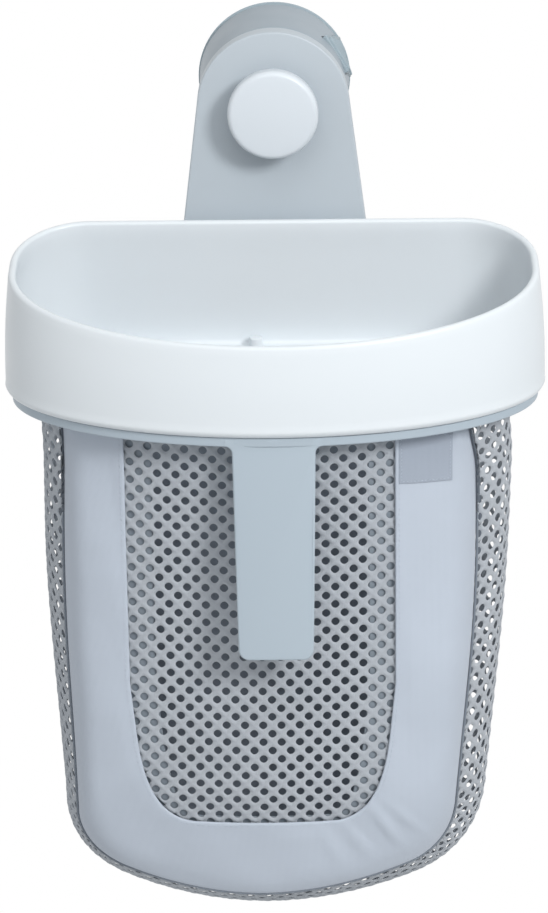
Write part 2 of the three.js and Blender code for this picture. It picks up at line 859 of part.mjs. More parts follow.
function handleRing() {
  const ring = carriedRound(ringSection);
  const plate = frontPlate(handleOutline(0), handleFront, handleThickness, handleEdge, 5);
  const hollowTop = rimBottom - ringDrop - handleWall;
  const hollowEnd = handleEndZ + handleWall;
  const pockets = [];
  const cell = (hollowTop - hollowEnd + handleWall) / (handleRibs + 1);
  for (let i = 0; i <= handleRibs; i++) {
    const top = hollowTop - i * cell;
    const low = top - cell + handleWall;
    const share = (z) => (handleTopZ - z) / (handleTopZ - handleEndZ);
    const half = (z) => lerp(handleHalfTop, handleHalfEnd, share(z)) - handleWall - handleEdge;
    const pocket = new THREE.Shape();
    pocket.moveTo(-half(low), low);
    pocket.lineTo(half(low), low);
    pocket.lineTo(half(top), top);
    pocket.lineTo(-half(top), top);
    pockets.push(frontPlate(pocket, handleFront - handleWall, handleThickness));
  }
  const handle = leanForward(cut(plate, ...pockets));
  const holes = screwPlaces().flatMap((place) => {
    const [x, y] = planPoint(place, screwInset);
    const foot = rimBottom - ringDrop - overrun;
    return [
      upright(screwRadius + seatGap, foot, rimBottom + overrun, x, y),
      upright(screwHeadRadius + seatGap, foot, screwBottom + screwHeadHeight + seatGap, x, y),
    ];
  });
  return cut(join(ring, handle), ...holes);
}

// Bag: hem

function hemSection() {
  const top = flangeRise - seatGap;
  const foot = -ringDrop + ringLedgeThickness + seatGap;
  return [
    [hemOuter, foot],
    [hemOuter, top],
    [hemInner, top],
    [hemInner, bagTop + seatGap],
    [bagInset, bagTop + seatGap],
    [bagInset, top - hemThickness],
    [hemOuter + hemThickness, top - hemThickness],
    [hemOuter + hemThickness, foot],
  ];
}

function stripSection() {
  const top = flangeRise - 2 * seatGap - hemThickness;
  const foot = -ringDrop + ringLedgeThickness + seatGap;
  const outer = hemOuter + hemThickness + seatGap;
  return [
    [outer, foot],
    [outer, top],
    [outer + stripThickness, top],
    [outer + stripThickness, foot],
  ];
}

// Bag: the front surface

// The bag's top line, which follows the ring's plan inside the ledge
const topLine = plan.map((place) => planPoint(place, bagInset));

function topLineY(x) {
  const front = topLine.slice(2 * (cornerSteps + 1));
  for (let i = 1; i < front.length; i++) {
    const [x0, y0] = front[i - 1];
    const [x1, y1] = front[i];
    if (x <= x1) return lerp(y0, y1, (x - x0) / (x1 - x0));
  }
  return front[front.length - 1][1];
}

const frontTopY = topLineY(0);

// The bag hangs a little to one side, more so further down
const seamShiftAt = (z) => frontSeamShift + frontSeamSkew * ((bagTopZ - z) / (bagTopZ - seamBottom)) ** 2;

// Where the outer face of the bag's front is, for a place x and z
function frontY(x, z) {
  const down = bagTopZ - z;
  const depth = bagTopZ - seamBottom;
  const settled = smooth(down / frontSettle);
  const across = (x - seamShiftAt(z) * settled) / frontSeamHalf;
  const low = frontTopY + frontRecede + frontCrown * across ** 2 + frontRoll * across ** rollPower;
  const tuck = frontTuck * smooth((down / depth - tuckStartShare) / (1 - tuckStartShare));
  return lerp(topLineY(x), low, settled) + tuck;
}

function frontFacing(x, z) {
  const step = clothThickness;
  const slopeX = (frontY(x + step, z) - frontY(x - step, z)) / (2 * step);
  const slopeZ = (frontY(x, z + step) - frontY(x, z - step)) / (2 * step);
  return new THREE.Vector3(slopeX, -1, slopeZ).normalize();
}

function onFront(x, z, behind) {
  const n = frontFacing(x, z);
  return [x - n.x * behind, frontY(x, z) - n.y * behind, z - n.z * behind];
}

// Bag: the U-shaped lines of the seams and the window, from the left top round to the right top

const sideSteps = 12;
const bendSteps = 6;
const floorSteps = 6;

function bent(from, control, to, steps) {
  const points = [from, control, to].map(([x, z]) => new THREE.Vector2(x, z));
  return new THREE.QuadraticBezierCurve(...points).getPoints(steps).map((p) => [p.x, p.y]);
}

// corner is where the side and the bottom would meet, and each pair of shares says how much of
// the side and of the bottom the bend takes
function uLine({ half, low, shiftAt, top, corner, bottom, taperFrom = top, leftShares, rightShares }) {
  const floorControl = 2 * bottom - lerp(corner, bottom, leftShares[1] + rightShares[1]);
  const halfAt = (z) => lerp(half, low, Math.max(0, (taperFrom - z) / (taperFrom - corner)));
  const limb = (side, [sideShare, bottomShare]) => {
    const bendTop = lerp(corner, top, sideShare);
    const bendEnd = [low * (1 - bottomShare), lerp(corner, floorControl, bottomShare)];
    const points = [];
    for (let i = 0; i < sideSteps; i++) {
      const z = lerp(top, bendTop, i / sideSteps);
      points.push([halfAt(z), z]);
    }
    points.push(...bent([halfAt(bendTop), bendTop], [low, corner], bendEnd, bendSteps));
    return points.map(([x, z]) => [side * x, z]);
  };
  const left = limb(-1, leftShares);
  const right = limb(1, rightShares).reverse();
  const floor = bent(left.pop(), [0, floorControl], right.shift(), floorSteps);
  return [...left, ...floor, ...right].map(([x, z]) => [x + shiftAt(z), z]);
}

// The direction that faces out of a U-shaped line at its point i
function facingOut(line, i) {
  const [x0, z0] = line[Math.max(0, i - 1)];
  const [x1, z1] = line[Math.min(line.length - 1, i + 1)];
  const size = Math.hypot(x1 - x0, z1 - z0);
  return [(z1 - z0) / size, -(x1 - x0) / size];
}

// A U-shaped line moved in by a distance, with its two ends kept at the top
function movedIn(line, distance) {
  return line.map(([x, z], i) => {
    const [nx, nz] = facingOut(line, i);
    const end = i === 0 || i === line.length - 1;
    return end ? [x - Math.sign(nx) * distance, z] : [x - nx * distance, z - nz * distance];
  });
}

const frontSeam = uLine({
  half: frontSeamHalf,
  low: frontSeamLow,
  shiftAt: seamShiftAt,
  top: bagTopZ,
  corner: seamCorner,
  bottom: seamBottom,
  leftShares: frontLeftShares,
  rightShares: frontRightShares,
});

const backSeam = uLine({
  half: backSeamHalf,
  low: backSeamLow,
  shiftAt: () => 0,
  top: bagTopZ,
  corner: seamCorner,
  bottom: seamBottom,
  leftShares: backSeamShares,
  rightShares: backSeamShares,
});

const windowEdge = uLine({
  half: windowHalf,
  low: windowLow,
  shiftAt: () => windowShift,
  top: bagTopZ,
  corner: windowCorner,
  bottom: windowBottom,
  taperFrom: windowTaperStart,
  leftShares: windowShares,
  rightShares: windowShares,
});

function frontPanel() {
  const outerEdge = movedIn(frontSeam, bindingRadius + seamGap);
  const shares = [0, 1 / 3, 2 / 3, 1];
  const face = (behind) => outerEdge.map(([ox, oz], i) => shares.map((share) => {
    const [wx, wz] = windowEdge[i];
    return onFront(lerp(ox, wx, share), lerp(oz, wz, share), behind);
  }));
  return sheet(face(0), face(clothThickness));
}

// Net of the window: diamond cells that stand corner to corner, each with a diamond hole

function inside(line, x, z) {
  let odd = false;
  for (let i = 0, j = line.length - 1; i < line.length; j = i++) {
    const [xi, zi] = line[i];
    const [xj, zj] = line[j];
    if ((zi > z) !== (zj > z) && x < (xj - xi) * (z - zi) / (zj - zi) + xi) odd = !odd;
  }
  return odd;
}

const cellCorners = [[1, 0], [0, 1], [-1, 0], [0, -1]];

// The cells whose corners all lie inside the window, each as [column, row] in half pitches
function netCells() {
  const field = movedIn(windowEdge, netEdge);
  const half = netPitch / 2;
  const cells = [];
  for (let row = 1; bagTopZ - row * half > windowBottom; row++) {
    const columns = Math.ceil(windowHalf / half);
    for (let column = -columns; column <= columns; column++) {
      if ((row + column) % 2 !== 0) continue;
      const corners = cellCorners.map(([c, r]) => netPlace(column + c, row + r));
      if (corners.every(([x, z]) => inside(field, x, z))) cells.push([column, row]);
    }
  }
  return cells;
}

function netPlace(column, row) {
  const half = netPitch / 2;
  return [windowShift + column * half, bagTopZ - netEdge - row * half];
}

// The edges that only one of the faces has, each as its two corners in the face's own order
function openEdges(faces) {
  const edges = new Map();
  for (const corners of faces) {
    corners.forEach((from, k) => {
      const to = corners[(k + 1) % corners.length];
      if (!edges.delete(`${to}>${from}`)) edges.set(`${from}>${to}`, [from, to]);
    });
  }
  return [...edges.values()];
}

// The line round all the cells, as lattice places in order
function lineRound(cells) {
  const outlines = cells.map(([column, row]) => cellCorners.map(([c, r]) => `${column + c},${row + r}`));
  const next = new Map(openEdges(outlines));
  const start = next.keys().next().value;
  const line = [start];
  for (let at = next.get(start); at !== start; at = next.get(at)) line.push(at);
  return line;
}

function netBorder() {
  const border = movedIn(windowEdge, -netSeamWidth);
  const [firstX] = border[0];
  const [lastX] = border[border.length - 1];
  const topSteps = Math.round((lastX - firstX) / netPitch);
  for (let i = 1; i < topSteps; i++) border.push([lerp(lastX, firstX, i / topSteps), bagTopZ]);
  return border;
}

// One face of the net as flat places and triangles
function netFace() {
  const cells = netCells();
  const places = [];
  const known = new Map();
  const lattice = (key) => {
    if (!known.has(key)) known.set(key, places.push(netPlace(...key.split(',').map(Number))) - 1);
    return known.get(key);
  };
  const triangles = [];
  for (const [column, row] of cells) {
    const [x, z] = netPlace(column, row);
    const hole = cellCorners.map(([c, r]) => places.push([x + c * netHoleHalf, z - r * netHoleHalf]) - 1);
    const corners = cellCorners.map(([c, r]) => lattice(`${column + c},${row + r}`));
    corners.forEach((corner, k) => {
      const n = (k + 1) % corners.length;
      triangles.push([corner, corners[n], hole[n]], [corner, hole[n], hole[k]]);
    });
  }
  const round = lineRound(cells).map(lattice);
  const border = netBorder().map((place) => places.push(place) - 1);
  triangles.push(...bandBetween(round, border, places));
  console.log(`window net: ${cells.length} holes`);
  return { places, triangles };
}

const turnOf = ([ax, az], [bx, bz], [cx, cz]) => (bx - ax) * (cz - az) - (cx - ax) * (bz - az);

// Triangles between two closed lines, one inside the other, stitched by the shortest step each time
function bandBetween(innerLine, outerLine, places) {
  const sum = (line) => line.reduce((total, a, i) => {
    const [[ax, az], [bx, bz]] = [places[a], places[line[(i + 1) % line.length]]];
    return total + ax * bz - bx * az;
  }, 0);
  const inner = sum(innerLine) > 0 ? innerLine : [...innerLine].reverse();
  const ordered = sum(outerLine) > 0 ? outerLine : [...outerLine].reverse();
  const far = (a, b) => Math.hypot(places[a][0] - places[b][0], places[a][1] - places[b][1]);
  const nearer = (a, b) => far(a, inner[0]) < far(b, inner[0]);
  const first = ordered.reduce((best, a, i) => (nearer(a, ordered[best]) ? i : best), 0);
  const outer = [...ordered.slice(first), ...ordered.slice(0, first)];
  const triangles = [];
  let i = 0;
  let j = 0;
  while (i < inner.length || j < outer.length) {
    const [a, b] = [inner[i % inner.length], outer[j % outer.length]];
    const nextIn = inner[(i + 1) % inner.length];
    const nextOut = outer[(j + 1) % outer.length];
    const inFits = i < inner.length && turnOf(places[a], places[b], places[nextIn]) > 0;
    const outFits = j < outer.length && turnOf(places[a], places[b], places[nextOut]) > 0;
    const takeIn = inFits && (!outFits || far(nextIn, b) < far(nextOut, a));
    if (!inFits && !outFits) throw new Error('the two lines of the net cross');
    if (takeIn) triangles.push([a, b, nextIn]);
    else triangles.push([a, b, nextOut]);
    if (takeIn) i++;
    else j++;
  }
  return triangles;
}

function windowNet() {
  const { places, triangles } = netFace();
  const count = places.length;
  const near = clothThickness + netGap;
  const face = (behind) => places.map(([x, z]) => onFront(x, z, behind));
  const turned = ([a, b, c]) => turnOf(places[a], places[b], places[c]) > 0;
  const alike = triangles.map(([a, b, c]) => (turned([a, b, c]) ? [a, b, c] : [a, c, b]));
  const indices = alike.flatMap(([a, b, c]) => [a, b, c, count + a, count + c, count + b]);
  for (const [a, b] of openEdges(alike)) indices.push(b, a, count + a, b, count + a, count + b);
  return meshFrom([...face(near), ...face(near + netThickness)], indices);
}

// Bag: gusset, back and bindings

const bagBack = rimBack - bagInset;

// The bag's top line on one side, from the front seam round to the back seam
function topSide(side) {
  const [seamX] = side < 0 ? frontSeam[0] : frontSeam[frontSeam.length - 1];
  const start = Math.abs(seamX);
  const ordered = side > 0
    ? [...topLine.slice(2 * (cornerSteps + 1)), ...topLine.slice(0, cornerSteps + 1)]
    : [...topLine.slice(cornerSteps + 1)].reverse();
  const half = ordered.map(([x, y]) => [x * side, y]);
  const middle = half.filter(([x, y]) => x > start || (x > 0 && y > rimMiddle));
  const kept = [[start, topLineY(seamX)], ...middle, [backSeamHalf, bagBack]];
  const lengths = [0];
  for (let i = 1; i < kept.length; i++) {
    lengths.push(lengths[i - 1] + Math.hypot(kept[i][0] - kept[i - 1][0], kept[i][1] - kept[i - 1][1]));
  }
  return (share) => {
    const wanted = share * lengths[lengths.length - 1];
    let i = 1;
    while (i < kept.length - 1 && lengths[i] < wanted) i++;
    const t = (wanted - lengths[i - 1]) / (lengths[i] - lengths[i - 1]);
    return [side * lerp(kept[i - 1][0], kept[i][0], t), lerp(kept[i - 1][1], kept[i][1], t)];
  };
}

const rightTop = topSide(1);
const leftTop = topSide(-1);

// The gusset's sides bulge less further down, and least where they bend into the bottom
function gussetPoint(i, share) {
  const [fx, fz] = frontSeam[i];
  const [bx, bz] = backSeam[i];
  const [nx, nz] = facingOut(frontSeam, i);
  const fy = frontY(fx, fz);
  const topBulge = nx > 0 ? gussetRightBulge : gussetLeftBulge;
  const sideBulge = topBulge - gussetSideTaper * (bagTopZ - fz) / seamCornerDrop;
  const full = lerp(sideBulge, gussetBottomBulge, Math.abs(nz)) - gussetPinch * 2 * Math.abs(nx * nz);
  const bulge = full * Math.sin(Math.PI * share);
  const x = lerp(fx, bx, share) + nx * bulge;
  const y = lerp(fy, bagBack, share);
  const z = lerp(fz, bz, share) + nz * bulge;
  const settled = smooth((bagTopZ - lerp(fz, bz, share)) / gussetSettle);
  const top = nx > 0 ? rightTop(share) : leftTop(share);
  const seamAtTop = nx > 0 ? frontSeam[frontSeam.length - 1] : frontSeam[0];
  const startX = lerp(seamAtTop[0], Math.sign(nx) * backSeamHalf, share);
  const startBulge = topBulge * Math.sin(Math.PI * share);
  const plainX = startX + Math.sign(nx) * startBulge;
  const plainY = lerp(topLineY(seamAtTop[0]), bagBack, share);
  return [x + (1 - settled) * (top[0] - plainX), y + (1 - settled) * (top[1] - plainY), z];
}

const gussetColumns = 7;

function gussetNet() {
  const grid = [];
  for (let i = 0; i < frontSeam.length; i++) {
    const row = [];
    for (let j = 0; j <= gussetColumns; j++) {
      const chord = Math.abs(bagBack - frontY(...frontSeam[i]));
      const edge = (bindingRadius + seamGap) / chord;
      row.push(gussetPoint(i, lerp(edge, 1 - edge, j / gussetColumns)));
    }
    grid.push(row);
  }
  return sheet(grid, thickened(grid, clothThickness));
}

// The second face of a sheet, which lies the thickness given inside the first
function thickened(grid, thickness) {
  const at = (i, j) => new THREE.Vector3(...grid[i][j]);
  return grid.map((row, i) => row.map((point, j) => {
    const along = at(Math.min(grid.length - 1, i + 1), j).sub(at(Math.max(0, i - 1), j));
    const across = at(i, Math.min(row.length - 1, j + 1)).sub(at(i, Math.max(0, j - 1)));
    const n = along.cross(across).normalize().multiplyScalar(thickness);
    return [point[0] + n.x, point[1] + n.y, i === 0 || i === grid.length - 1 ? point[2] : point[2] + n.z];
  }));
}

function backPanel() {
  const edge = movedIn(backSeam, bindingRadius + seamGap);
  const shape = new THREE.Shape(edge.map(([x, z]) => new THREE.Vector2(x, z)));
  return frontPlate(shape, -bagBack + clothThickness, clothThickness);
}

const cordSides = 5;

// The cord along a seam starts just under the ring. deepAt gives its place in Y for an x and z.
function seamCord(line, deepAt) {
  const cordTop = rimBottom - ringDrop - seatGap;
  const points = line.flatMap(([x, z], i) => {
    const held = Math.min(z, cordTop);
    const deep = deepAt(x, held);
    const [nx, nz] = facingOut(line, i);
    const section = [];
    for (let k = 0; k < cordSides; k++) {
      const turn = k / cordSides * 2 * Math.PI;
      const out = bindingRadius * Math.cos(turn);
      section.push([x + nx * out, deep + bindingRadius * Math.sin(turn), held + nz * out]);
    }
    return section;
  });
  const last = points.length - cordSides;
  const triangles = [];
  for (let k = 0; k < cordSides; k++) {
    const n = (k + 1) % cordSides;
    for (let a = 0; a < last; a += cordSides) {
      const b = a + cordSides;
      triangles.push([a + k, a + n, b + n], [a + k, b + n, b + k]);
    }
    if (k > 0 && n > 0) triangles.push([0, n, k], [last, last + k, last + n]);
  }
  return meshFrom(points, triangles.flat());
}

// The assembly

add('suction_cup', suctionCup(), softGrey);
add('cup_stud', cupStud(), nylon);
add('housing_drum', housingDrum(), grey);
add('wall_bracket', wallBracket(), grey);
add('slip_washer', slipWasher(), nylon);
add('knob_insert', knobInsert(), brass);
add('knob', knobBody(), knobWhite);
add('basket_rim', basketRim(), white);
add('handle_ring', handleRing(), handleGrey);
screwPlaces().forEach((place, i) => add(`ring_screw_${i + 1}`, ringScrew(place), steel));
add('hem_band', carriedRound(hemSection), netCloth);
add('hem_strip', carriedRound(stripSection), nylon);
add('front_panel', frontPanel(), cloth);
add('window_net', windowNet(), netCloth);
add('gusset_net', gussetNet(), netCloth);
add('back_panel', backPanel(), cloth);
add('front_binding', seamCord(frontSeam, frontY), binding);
add('back_binding', seamCord(backSeam, () => bagBack - clothThickness / 2), binding);

export default organizer;
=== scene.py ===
import math

import bmesh
import bpy
import numpy as np
from mathutils import Matrix, Vector

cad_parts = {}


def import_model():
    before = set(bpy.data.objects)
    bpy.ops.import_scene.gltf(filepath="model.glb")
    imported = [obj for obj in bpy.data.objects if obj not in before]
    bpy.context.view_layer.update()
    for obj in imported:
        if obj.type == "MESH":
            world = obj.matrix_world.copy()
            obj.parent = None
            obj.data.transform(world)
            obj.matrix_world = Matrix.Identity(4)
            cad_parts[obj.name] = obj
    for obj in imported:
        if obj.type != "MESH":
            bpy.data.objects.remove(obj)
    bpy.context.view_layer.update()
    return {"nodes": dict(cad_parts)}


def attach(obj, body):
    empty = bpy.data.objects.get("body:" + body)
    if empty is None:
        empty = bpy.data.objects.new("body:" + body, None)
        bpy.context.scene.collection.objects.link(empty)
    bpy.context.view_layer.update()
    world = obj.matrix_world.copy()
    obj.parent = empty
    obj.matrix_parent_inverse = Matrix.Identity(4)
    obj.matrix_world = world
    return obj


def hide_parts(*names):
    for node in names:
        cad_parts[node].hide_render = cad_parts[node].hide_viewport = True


# Sizes are in metres, in the part's own frame: the origin on the wall behind the knob, -Y towards
# the room, +Z up. The main sizes repeat those of the solids that the pieces stand for.

SEAT_GAP = 0.0003
SLIDE_GAP = 0.0005
SEAM_GAP = 0.0005
SMALL_EDGE = 0.0005
# Points nearer to each other than this become one
WELD = 0.000001

# Angles between faces up to which they are shaded as one, in degrees
BLOCK_ANGLE = 38
TURNED_ANGLE = 30
PLATE_ANGLE = 32
CLOTH_ANGLE = 60
NET_ANGLE = 70

# Suction cup, with its tab's angle and twist in degrees
CUP_RADIUS = 0.0334
CUP_EDGE = 0.0012
CUP_LAND = 0.0065
CUP_HOLLOW = 0.0045
CUP_CEILING = 0.0034
CUP_SKIN = 0.0026
CUP_BOSS_RADIUS = 0.0105
CUP_BOSS_HEIGHT = 0.0165
CUP_NECK = 0.0033
CUP_FOOT_SHARE = 0.1
TAB_ANGLE = 15
TAB_TWIST = 16
TAB_WIDTH = 0.019
TAB_THICKNESS = 0.0024
TAB_LENGTH = 0.021
TAB_FIRST = 0.0045
TAB_RIBS = 6
TAB_RIB_HEIGHT = 0.0009
TAB_RIB_WIDTH = 0.0013
TAB_EDGE = 0.0005

# Drum and bracket
STUD_RADIUS = 0.003
DRUM_MOUTH_RADIUS = 0.0329
DRUM_TOP_RADIUS = 0.0316
DRUM_DEPTH = 0.036
DRUM_LIFT = 0.003
DRUM_WALL = 0.0024
DRUM_SHOULDER = 0.004
DRUM_HUB_RADIUS = 0.015
BRACKET_FRONT = 0.050
BRACKET_PLATE = 0.004
BRACKET_RADIUS = 0.0327
BRACKET_FLARE = math.radians(7.2)
BRACKET_FOOT = 0.096
BRACKET_CORNER = 0.009
BRACKET_SKIRT = 0.004
BRACKET_SKIRT_WALL = 0.0024
BRACKET_EDGE = 0.0008
RIB_WIDTH = 0.002
FINGER_HALF = 0.026
FINGER_THICKNESS = 0.0035
FINGER_SHELF = 0.004
FINGER_RISE = 0.022
FINGER_SHELF_TOP = 0.088
FINGER_NOSE = 0.0032

# Knob
KNOB_RADIUS = 0.0194
KNOB_REAR = 0.059
KNOB_FRONT = 0.0655
KNOB_FILLET = 0.0024
KNOB_CROWN = 0.0007
KNOB_NECK = 0.0105
KNOB_NECK_START = 0.0518
KNOB_WALL = 0.0024
KNOB_RIBS = 6
KNOB_RIB_WIDTH = 0.0018
INSERT_BORE = 0.0053

# Rim
RIM_HALF_WIDTH = 0.115
RIM_DEPTH = 0.110
RIM_FRONT_DEPTH = 0.066
RIM_CORNER = 0.036
RIM_BACK_TOP = -0.0467
RIM_HEIGHT = 0.0618
RIM_DROP = 0.022
RIM_WALL = 0.0026
RIM_LIP = 0.0032
RIM_DRAFT = math.radians(3.4)
RIM_BOTTOM_ROUND = 0.004
RIM_BULGE = 0.0007
FLANGE_THICKNESS = 0.0024
FLANGE_RISE = 0.002
FLANGE_INSET = 0.0158
SOCKET_WALL = 0.0024
SOCKET_TOP = 0.003

# Ring, handle and screws
RING_INSET = 0.0065
RING_LIP = 0.0035
RING_WALL = 0.004
RING_DROP = 0.0041
RING_LEDGE = 0.0035
RING_LEDGE_THICKNESS = 0.0016
RING_EDGE = 0.0008
RING_SEAM = 0.0001
HANDLE_HALF_TOP = 0.0173
HANDLE_HALF_END = 0.0157
HANDLE_LENGTH = 0.0937
HANDLE_THICKNESS = 0.0042
HANDLE_CORNER = 0.0045
HANDLE_FILLET = 0.003
HANDLE_TILT = math.radians(3)
HANDLE_WALL = 0.0022
HANDLE_RIBS = 3
HANDLE_EDGE = 0.0009
HANDLE_PROUD = 0.00015
SCREW_COUNT = 6
SCREW_RADIUS = 0.0012
SCREW_HEAD_RADIUS = 0.0018
SCREW_HEAD_HEIGHT = 0.0014
SCREW_LENGTH = 0.009
SCREW_TURNS = 8
SCREW_ROOT_SHARE = 0.8
SCREW_BOSS_RADIUS = 0.0029
SCREW_BOSS_HEIGHT = 0.005
CROSS_REACH_SHARE = 0.6

# Bag
CLOTH = 0.0014
HEM = 0.0012
STRIP = 0.0017
BAG_TOP_LIFT = 0.0007
BINDING_RADIUS = 0.0006
# The panel's edge stops this far short of the seam, so the binding shows along it as a dark line: partly
# the real binding, partly a painted shadow of the crease.
BINDING_SHOWN = 0.0006
BAG_INSET = 0.0143
FRONT_SEAM_HALF = 0.0887
FRONT_SEAM_SHIFT = -0.0025
FRONT_SEAM_SKEW = -0.005
FRONT_SEAM_TAPER = 0.006
FRONT_SEAM_BOW = 0.0022
TOP_PULL = 0.0035
TOP_PULL_DROP = 0.028
SEAM_CORNER_DROP = 0.2045
SEAM_BOTTOM_DROP = 0.224
BACK_SEAM_HALF = 0.077
BACK_SEAM_TAPER = 0.007
WINDOW_HALF = 0.057
WINDOW_SHIFT = -0.0065
WINDOW_TAPER = 0.0065
WINDOW_CORNER_DROP = 0.1825
WINDOW_BOTTOM_DROP = 0.1835
WINDOW_TAPER_DROP = 0.118
FRONT_RECEDE = 0.006
FRONT_CROWN = 0.012
FRONT_ROLL = 0.005
FRONT_SETTLE = 0.070
FRONT_TUCK = 0.009
EDGE_ROLL = 0.0095
EDGE_ROLL_WIDTH = 0.018
EDGE_ROLL_SETTLE = 0.030
GUSSET_LEFT_BULGE = 0.0185
GUSSET_RIGHT_BULGE = 0.0215
GUSSET_SIDE_TAPER = 0.005
GUSSET_BOTTOM_BULGE = 0.017
GUSSET_CORNER_BULGE = 0.0016
GUSSET_SETTLE = 0.090
TUCK_START_SHARE = 0.72
FRONT_LEFT_SHARES = (0.08, 0.24)
FRONT_RIGHT_SHARES = (0.10, 0.21)
BACK_SEAM_SHARES = (0.14, 0.38)
WINDOW_SHARES = (0.22, 0.42)
ROLL_POWER = 8
ROLL_FOOT_SHARE = 0.4
ROLL_TOP_SHARE = 0.4

# Unevenness of the cloth: heights, the drops that it settles over, and waves in radians per metre
SWELL = 0.0005
SWELL_WAVES = (61, 37)
SWELL_STARTS = (1.3, 0.4)
RIPPLE = 0.0003
RIPPLE_WAVES = (131, 83)
SWELL_SETTLE = 0.006
WINDOW_SWELL_SETTLE = 0.01
BACK_SWELL = 0.0007
BACK_SWELL_WAVES = (55, 41)
BACK_SWELL_SETTLE = 0.03

# Puckers of the front panel as (x, z, direction in degrees, half length, half width, height), and how
# far a pucker's side rises again, in radians per half width
PUCKER_WAVE = 1.2
PUCKERS = (
    (0.046, -0.299, -60, 0.0125, 0.0033, 0.0010),
    (0.0345, -0.307, -58, 0.0120, 0.0034, 0.0009),
    (0.023, -0.310, -67, 0.0110, 0.0034, 0.0007),
    (0.055, -0.296, -50, 0.0110, 0.0032, 0.0006),
    (-0.058, -0.297, 236, 0.0130, 0.0040, 0.0004),
    (0.0775, -0.122, -72, 0.0110, 0.0024, 0.0008),
)

# Nets: the pitch of their columns, the rise of one row and the radius of a hole
NET_PITCH = 0.0079
NET_ROW = 0.0040
NET_HOLE = 0.00178
NET_GAP = 0.0006
NET_THICKNESS = 0.001
NET_SEAM_WIDTH = 0.0045
NET_TUCK_SHARE = 0.6
NET_REACH_SHARE = 0.2
YARN_SHARES = (1.25, 0.65)
EDGE_POINTS = 3
HOLE_POINTS = 4 * EDGE_POINTS
# Each ring of a net's cell as (share of the way in to the hole, share of the thickness)
NET_RINGS = ((0.0, 1.0), (0.55, 0.86), (1.0, 0.0))

# Tapes, facing, patch and stitches
TAPE_WIDTH = 0.0026
TAPE_SINK = 0.0009
FACING_OUT = 0.004
FACING_IN = 0.0108
FACING_FOOT = 0.0012
FACING_THICKNESS = 0.0007
PATCH_LEFT = 0.0518
PATCH_RIGHT = 0.0746
PATCH_TOP = -0.1150
PATCH_HEIGHT = 0.0219
PATCH_FALL = 0.0018
PATCH_THICKNESS = 0.0006
PATCH_LIFT_SHARE = 0.45
PATCH_STITCHES = 13
PATCH_STITCH_INSET = 0.0011
PATCH_STITCH_SHARES = (0.15, 0.85)
STITCH_RADIUS = 0.00016
STITCH_PITCH = 0.0024
STITCH_SHARE = 0.72
STITCH_OUT = 0.0015
STITCH_SIDES = 6
# Each ring of a stitch as (share of its length, share of its radius)
STITCH_RINGS = ((0.0, 0.15), (0.12, 0.7), (0.5, 1.0), (0.88, 0.7), (1.0, 0.15))

# Places that follow from the sizes
FINGER_FRONT = BRACKET_FRONT + 2 * SLIDE_GAP + SOCKET_WALL + FINGER_THICKNESS
FINGER_TOP = -(FINGER_SHELF_TOP - FINGER_RISE)
SHELF_FOOT = -(FINGER_SHELF_TOP + FINGER_SHELF)
SOCKET_FOOT = -(FINGER_SHELF_TOP - SEAT_GAP)
RIM_BACK = -(FINGER_FRONT + SLIDE_GAP)
RIM_BOTTOM = RIM_BACK_TOP - RIM_HEIGHT
RIM_MIDDLE = RIM_BACK - RIM_DEPTH + RIM_FRONT_DEPTH
RING_OUTER = RING_INSET - RING_LIP
RING_INNER = RING_INSET + RING_WALL
LEDGE_INNER = RING_INNER + RING_LEDGE
HEM_OUTER = RING_INNER + SEAT_GAP
HEM_INNER = BAG_INSET + HEM
HEM_TOP = FLANGE_RISE - SEAT_GAP
HEM_FOOT = -RING_DROP + RING_LEDGE_THICKNESS + SEAT_GAP
BAG_TOP = BAG_TOP_LIFT - RING_DROP
BAG_TOP_Z = RIM_BOTTOM + BAG_TOP
SEAM_CORNER = BAG_TOP_Z - SEAM_CORNER_DROP
SEAM_BOTTOM = BAG_TOP_Z - SEAM_BOTTOM_DROP
WINDOW_CORNER = BAG_TOP_Z - WINDOW_CORNER_DROP
WINDOW_BOTTOM = BAG_TOP_Z - WINDOW_BOTTOM_DROP
BAG_BACK = RIM_BACK - BAG_INSET
BAG_CENTRE = (0, (RIM_BACK + RIM_MIDDLE) / 2, (BAG_TOP_Z + SEAM_BOTTOM) / 2)
TAB_OUTER = CUP_RADIUS - TAB_RIB_HEIGHT
TAB_INNER = TAB_OUTER - TAB_THICKNESS
SCREW_INSET = RING_INSET + RING_WALL / 2
SCREW_BOTTOM = RIM_BOTTOM - RING_DROP + RING_EDGE
HANDLE_FRONT = -(RIM_BACK - RIM_DEPTH) - RING_OUTER + HANDLE_PROUD
HANDLE_TOP_Z = RIM_BOTTOM - SEAT_GAP
HANDLE_END_Z = RIM_BOTTOM - RING_DROP - HANDLE_LENGTH

# Plastics as (colour of 255, roughness, height of the grain, share of light let in)
PLASTICS = {
    "rim white": ((226, 232, 236), 0.34, 0.000006, 0.06),
    "knob white": ((218, 225, 231), 0.32, 0.000006, 0.05),
    "bracket grey": ((188, 197, 204), 0.42, 0.000012, 0),
    # The drum is moulded in the bracket's grey; its darker colour here is painted shade.
    "drum grey": ((158, 170, 179), 0.42, 0.000012, 0),
    "handle grey": ((177, 190, 200), 0.4, 0.000010, 0),
    "soft grey": ((158, 173, 181), 0.5, 0.000015, 0.1),
    "nylon": ((232, 231, 226), 0.45, 0.000006, 0.1),
}
# Metals as (colour, roughness)
METALS = {"brass": ((214, 176, 98), 0.32), "steel": ((190, 194, 198), 0.3)}
